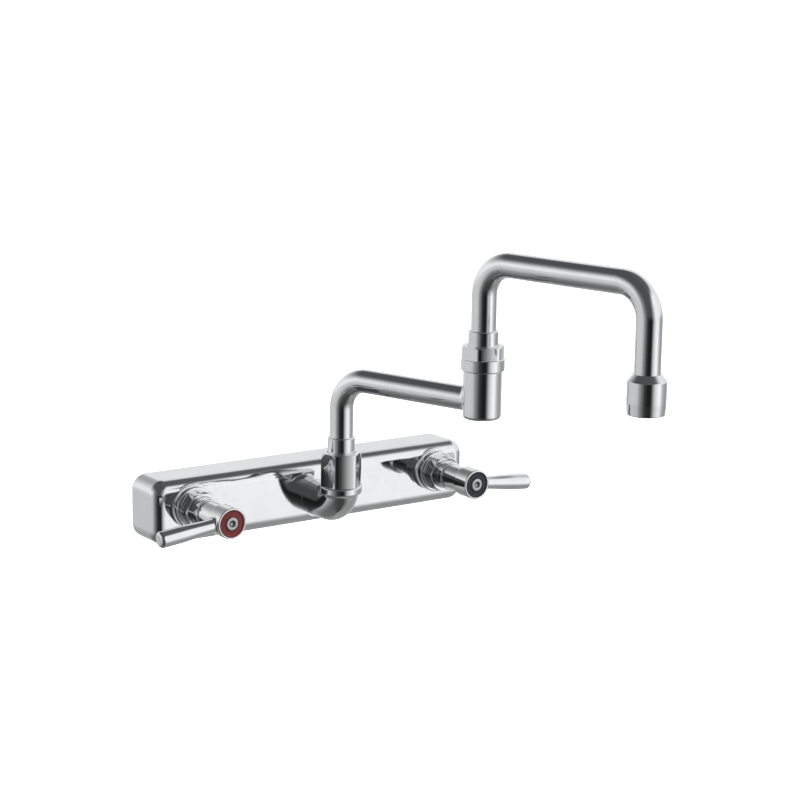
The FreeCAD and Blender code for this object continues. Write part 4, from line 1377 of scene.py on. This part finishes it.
@dataclass
class Studio:
    """The camera at the photograph's viewing angle, the pale floor and the soft light."""

    photo_width: float = 800.0
    sensor: float = 36.0
    focal: float = 2117.07
    pitch: float = 11.67
    roll: float = 0.82
    yaw: float = 35.24
    target_x: float = 96.45
    target_z: float = 48.78
    distance: float = 1577.72
    floor: float = -160.0

    def view(self) -> tuple[Vector, Vector, Vector]:
        """The camera's right, up and forward directions.

        Returns:
            The three directions.
        """
        yaw, pitch, roll = (math.radians(value) for value in (self.yaw, self.pitch, self.roll))
        forward = Vector((math.sin(yaw) * math.cos(pitch), math.cos(yaw) * math.cos(pitch), -math.sin(pitch)))
        level = Vector((math.cos(yaw), -math.sin(yaw), 0.0))
        over = level.cross(forward)
        right = math.cos(roll) * level + math.sin(roll) * over
        return right, -math.sin(roll) * level + math.cos(roll) * over, forward

    def build(self) -> None:
        """Set up everything around the tap."""
        scene = bpy.context.scene
        right, over, forward = self.view()
        turn = Matrix((right, over, -forward)).transposed().to_4x4()
        eye = Vector((self.target_x, 0.0, self.target_z)) - forward * self.distance
        data = bpy.data.cameras.new("photo_camera")
        data.sensor_width = self.sensor
        data.lens = self.focal / self.photo_width * self.sensor
        data.clip_end = 60
        camera = bpy.data.objects.new("photo_camera", data)
        camera.matrix_world = Matrix.Translation(eye * MM) @ turn
        scene.collection.objects.link(camera)
        scene.camera = camera
        scene.view_settings.view_transform = "Standard"
        scene.view_settings.look = "None"
        self.surroundings(scene)
        self.ground()
        self.lamp("top_softbox", Vector((0.1, -0.3, 1.9)), Vector((0.05, -0.1, 0.0)), 2.6, 62.0)

    def ground(self) -> None:
        """The plain pale floor, which curves up far away into a dome. Its profile is in metres."""
        profile = ((0.0, 0.0), (3.0, 0.0), (6.0, 0.0), (8.0, 0.3), (9.4, 1.2), (10.2, 2.6), (10.6, 4.6),
                   (10.0, 7.5), (7.0, 9.6), (0.0, 10.4))
        corners = [(reach / MM, height / MM + self.floor) for reach, height in profile]
        mesh = spun(corners, closed=False, around=96).mesh("studio_floor")
        floor = bpy.data.objects.new("studio_floor", mesh)
        bpy.context.scene.collection.objects.link(floor)
        paint = bpy.data.materials.new("floor_paint")
        paint.use_nodes = True
        graph = Graph(paint.node_tree)
        mottle = graph.noise(graph.stretched(), 3.0)
        tone = graph.mix(mottle, (0.88, 0.88, 0.88), (0.91, 0.91, 0.91))
        graph.surface({"Base Color": tone, "Roughness": 0.9, "Emission Color": (1.0, 1.0, 1.0),
                       "Emission Strength": 0.9})
        mesh.materials.append(paint)
        for way in ("diffuse", "glossy", "transmission", "shadow"):
            setattr(floor, f"visible_{way}", False)

    def lamp(self, name: str, place: Vector, aim: Vector, size: float, power: float) -> None:
        """One soft light, which lights but isn't mirrored in the chrome.

        Args:
            name: the light's name.
            place: where it is, in metres.
            aim: the point that it faces.
            size: its width and height, in metres.
            power: its power in watts.
        """
        data = bpy.data.lights.new(name, "AREA")
        data.shape = "SQUARE"
        data.size = size
        data.energy = power
        light = bpy.data.objects.new(name, data)
        turn = (aim - place).to_track_quat("-Z", "Y").to_matrix().to_4x4()
        light.matrix_world = Matrix.Translation(place) @ turn
        light.visible_glossy = False
        bpy.context.scene.collection.objects.link(light)

    def surroundings(self, scene: bpy.types.Scene) -> None:
        """The studio that the chrome mirrors: white panels around, a dark gap, a dim ceiling.

        Args:
            scene: the scene that gets the world.
        """
        world = bpy.data.worlds.new("studio")
        world.use_nodes = True
        scene.world = world
        graph = Graph(world.node_tree)
        way = graph.out(graph.add("ShaderNodeTexCoord"), "Generated")
        split = graph.add("ShaderNodeSeparateXYZ", None, {0: way})
        x, y, z = (graph.out(split, number) for number in range(3))
        yaw = math.radians(self.yaw)
        aside = x * math.cos(yaw) - y * math.sin(yaw)
        toward = x * -math.sin(yaw) - y * math.cos(yaw)
        turn = graph.math("ARCTAN2", aside, toward) / (2 * math.pi) + 0.5
        around = [
            (-180, 0.66), (-118, 0.60), (-84, 0.62), (-60, 0.56), (-48, 0.32), (-34, 0.18), (-20, 0.05),
            (-4, 0.015), (14, 0.010), (21, 0.05), (28, 0.22), (40, 0.60), (54, 0.84), (64, 0.98),
            (77, 0.98), (86, 0.66), (102, 0.40), (125, 0.30), (150, 0.50), (180, 0.66)]
        above = [
            (-180, 0.76), (-120, 0.84), (-84, 0.86), (-60, 0.66), (-46, 0.26), (-20, 0.08), (14, 0.07),
            (30, 0.32), (46, 0.85), (70, 0.95), (100, 0.85), (150, 0.76), (180, 0.76)]
        below = [
            (-180, 0.35), (-140, 0.16), (-60, 0.12), (-20, 0.06), (30, 0.05), (55, 0.18), (75, 0.27),
            (165, 0.30), (180, 0.35)]
        beside = [(-180, 1.0), (-160, 0.0), (30, 0.0), (60, 1.0), (180, 1.0)]
        tones = [graph.out(graph.add("ShaderNodeValToRGB", {
            "stops": [(place / 360 + 0.5, tone) for place, tone in stops]}, {0: turn}))
            for stops in (around, above, below, beside)]
        band = graph.mix(graph.step(z, -0.12, 0.10), tones[0], tones[1])
        rise = (z - (tones[3] * 0.24 + 0.48)) * (tones[3] * 1.3 + 1.0)
        shade = graph.mix(tones[3], (0.08, 0.08, 0.085), (0.10, 0.10, 0.105))
        ceiling = graph.mix(graph.step(rise, -0.28, 0.28), band, shade)
        room = graph.mix(graph.step(z * -1.0, 0.14, 0.80), ceiling, tones[2])
        shader = graph.add("ShaderNodeBackground", None, {"Color": room, "Strength": 1.15})
        graph.add("ShaderNodeOutputWorld", None, {"Surface": graph.out(shader)})


def main() -> None:
    """Build the tap, sub-assembly by sub-assembly, and set it in its studio."""
    logging.basicConfig(level=logging.INFO, format="%(name)s: %(message)s")
    BodyCasting().build()
    OutletElbow().build()
    Swivel("base", collar_radius=9.65).build("faucet_body", "first_arm")
    Swivel("joint", collar_radius=9.9, foot_radius=14.4, foot_height=7.5).build("first_arm", "second_arm")
    SpoutArms().build()
    for side in Side:
        Valve(side).build()
    Studio().build()


if __name__ == "__main__":
    main()
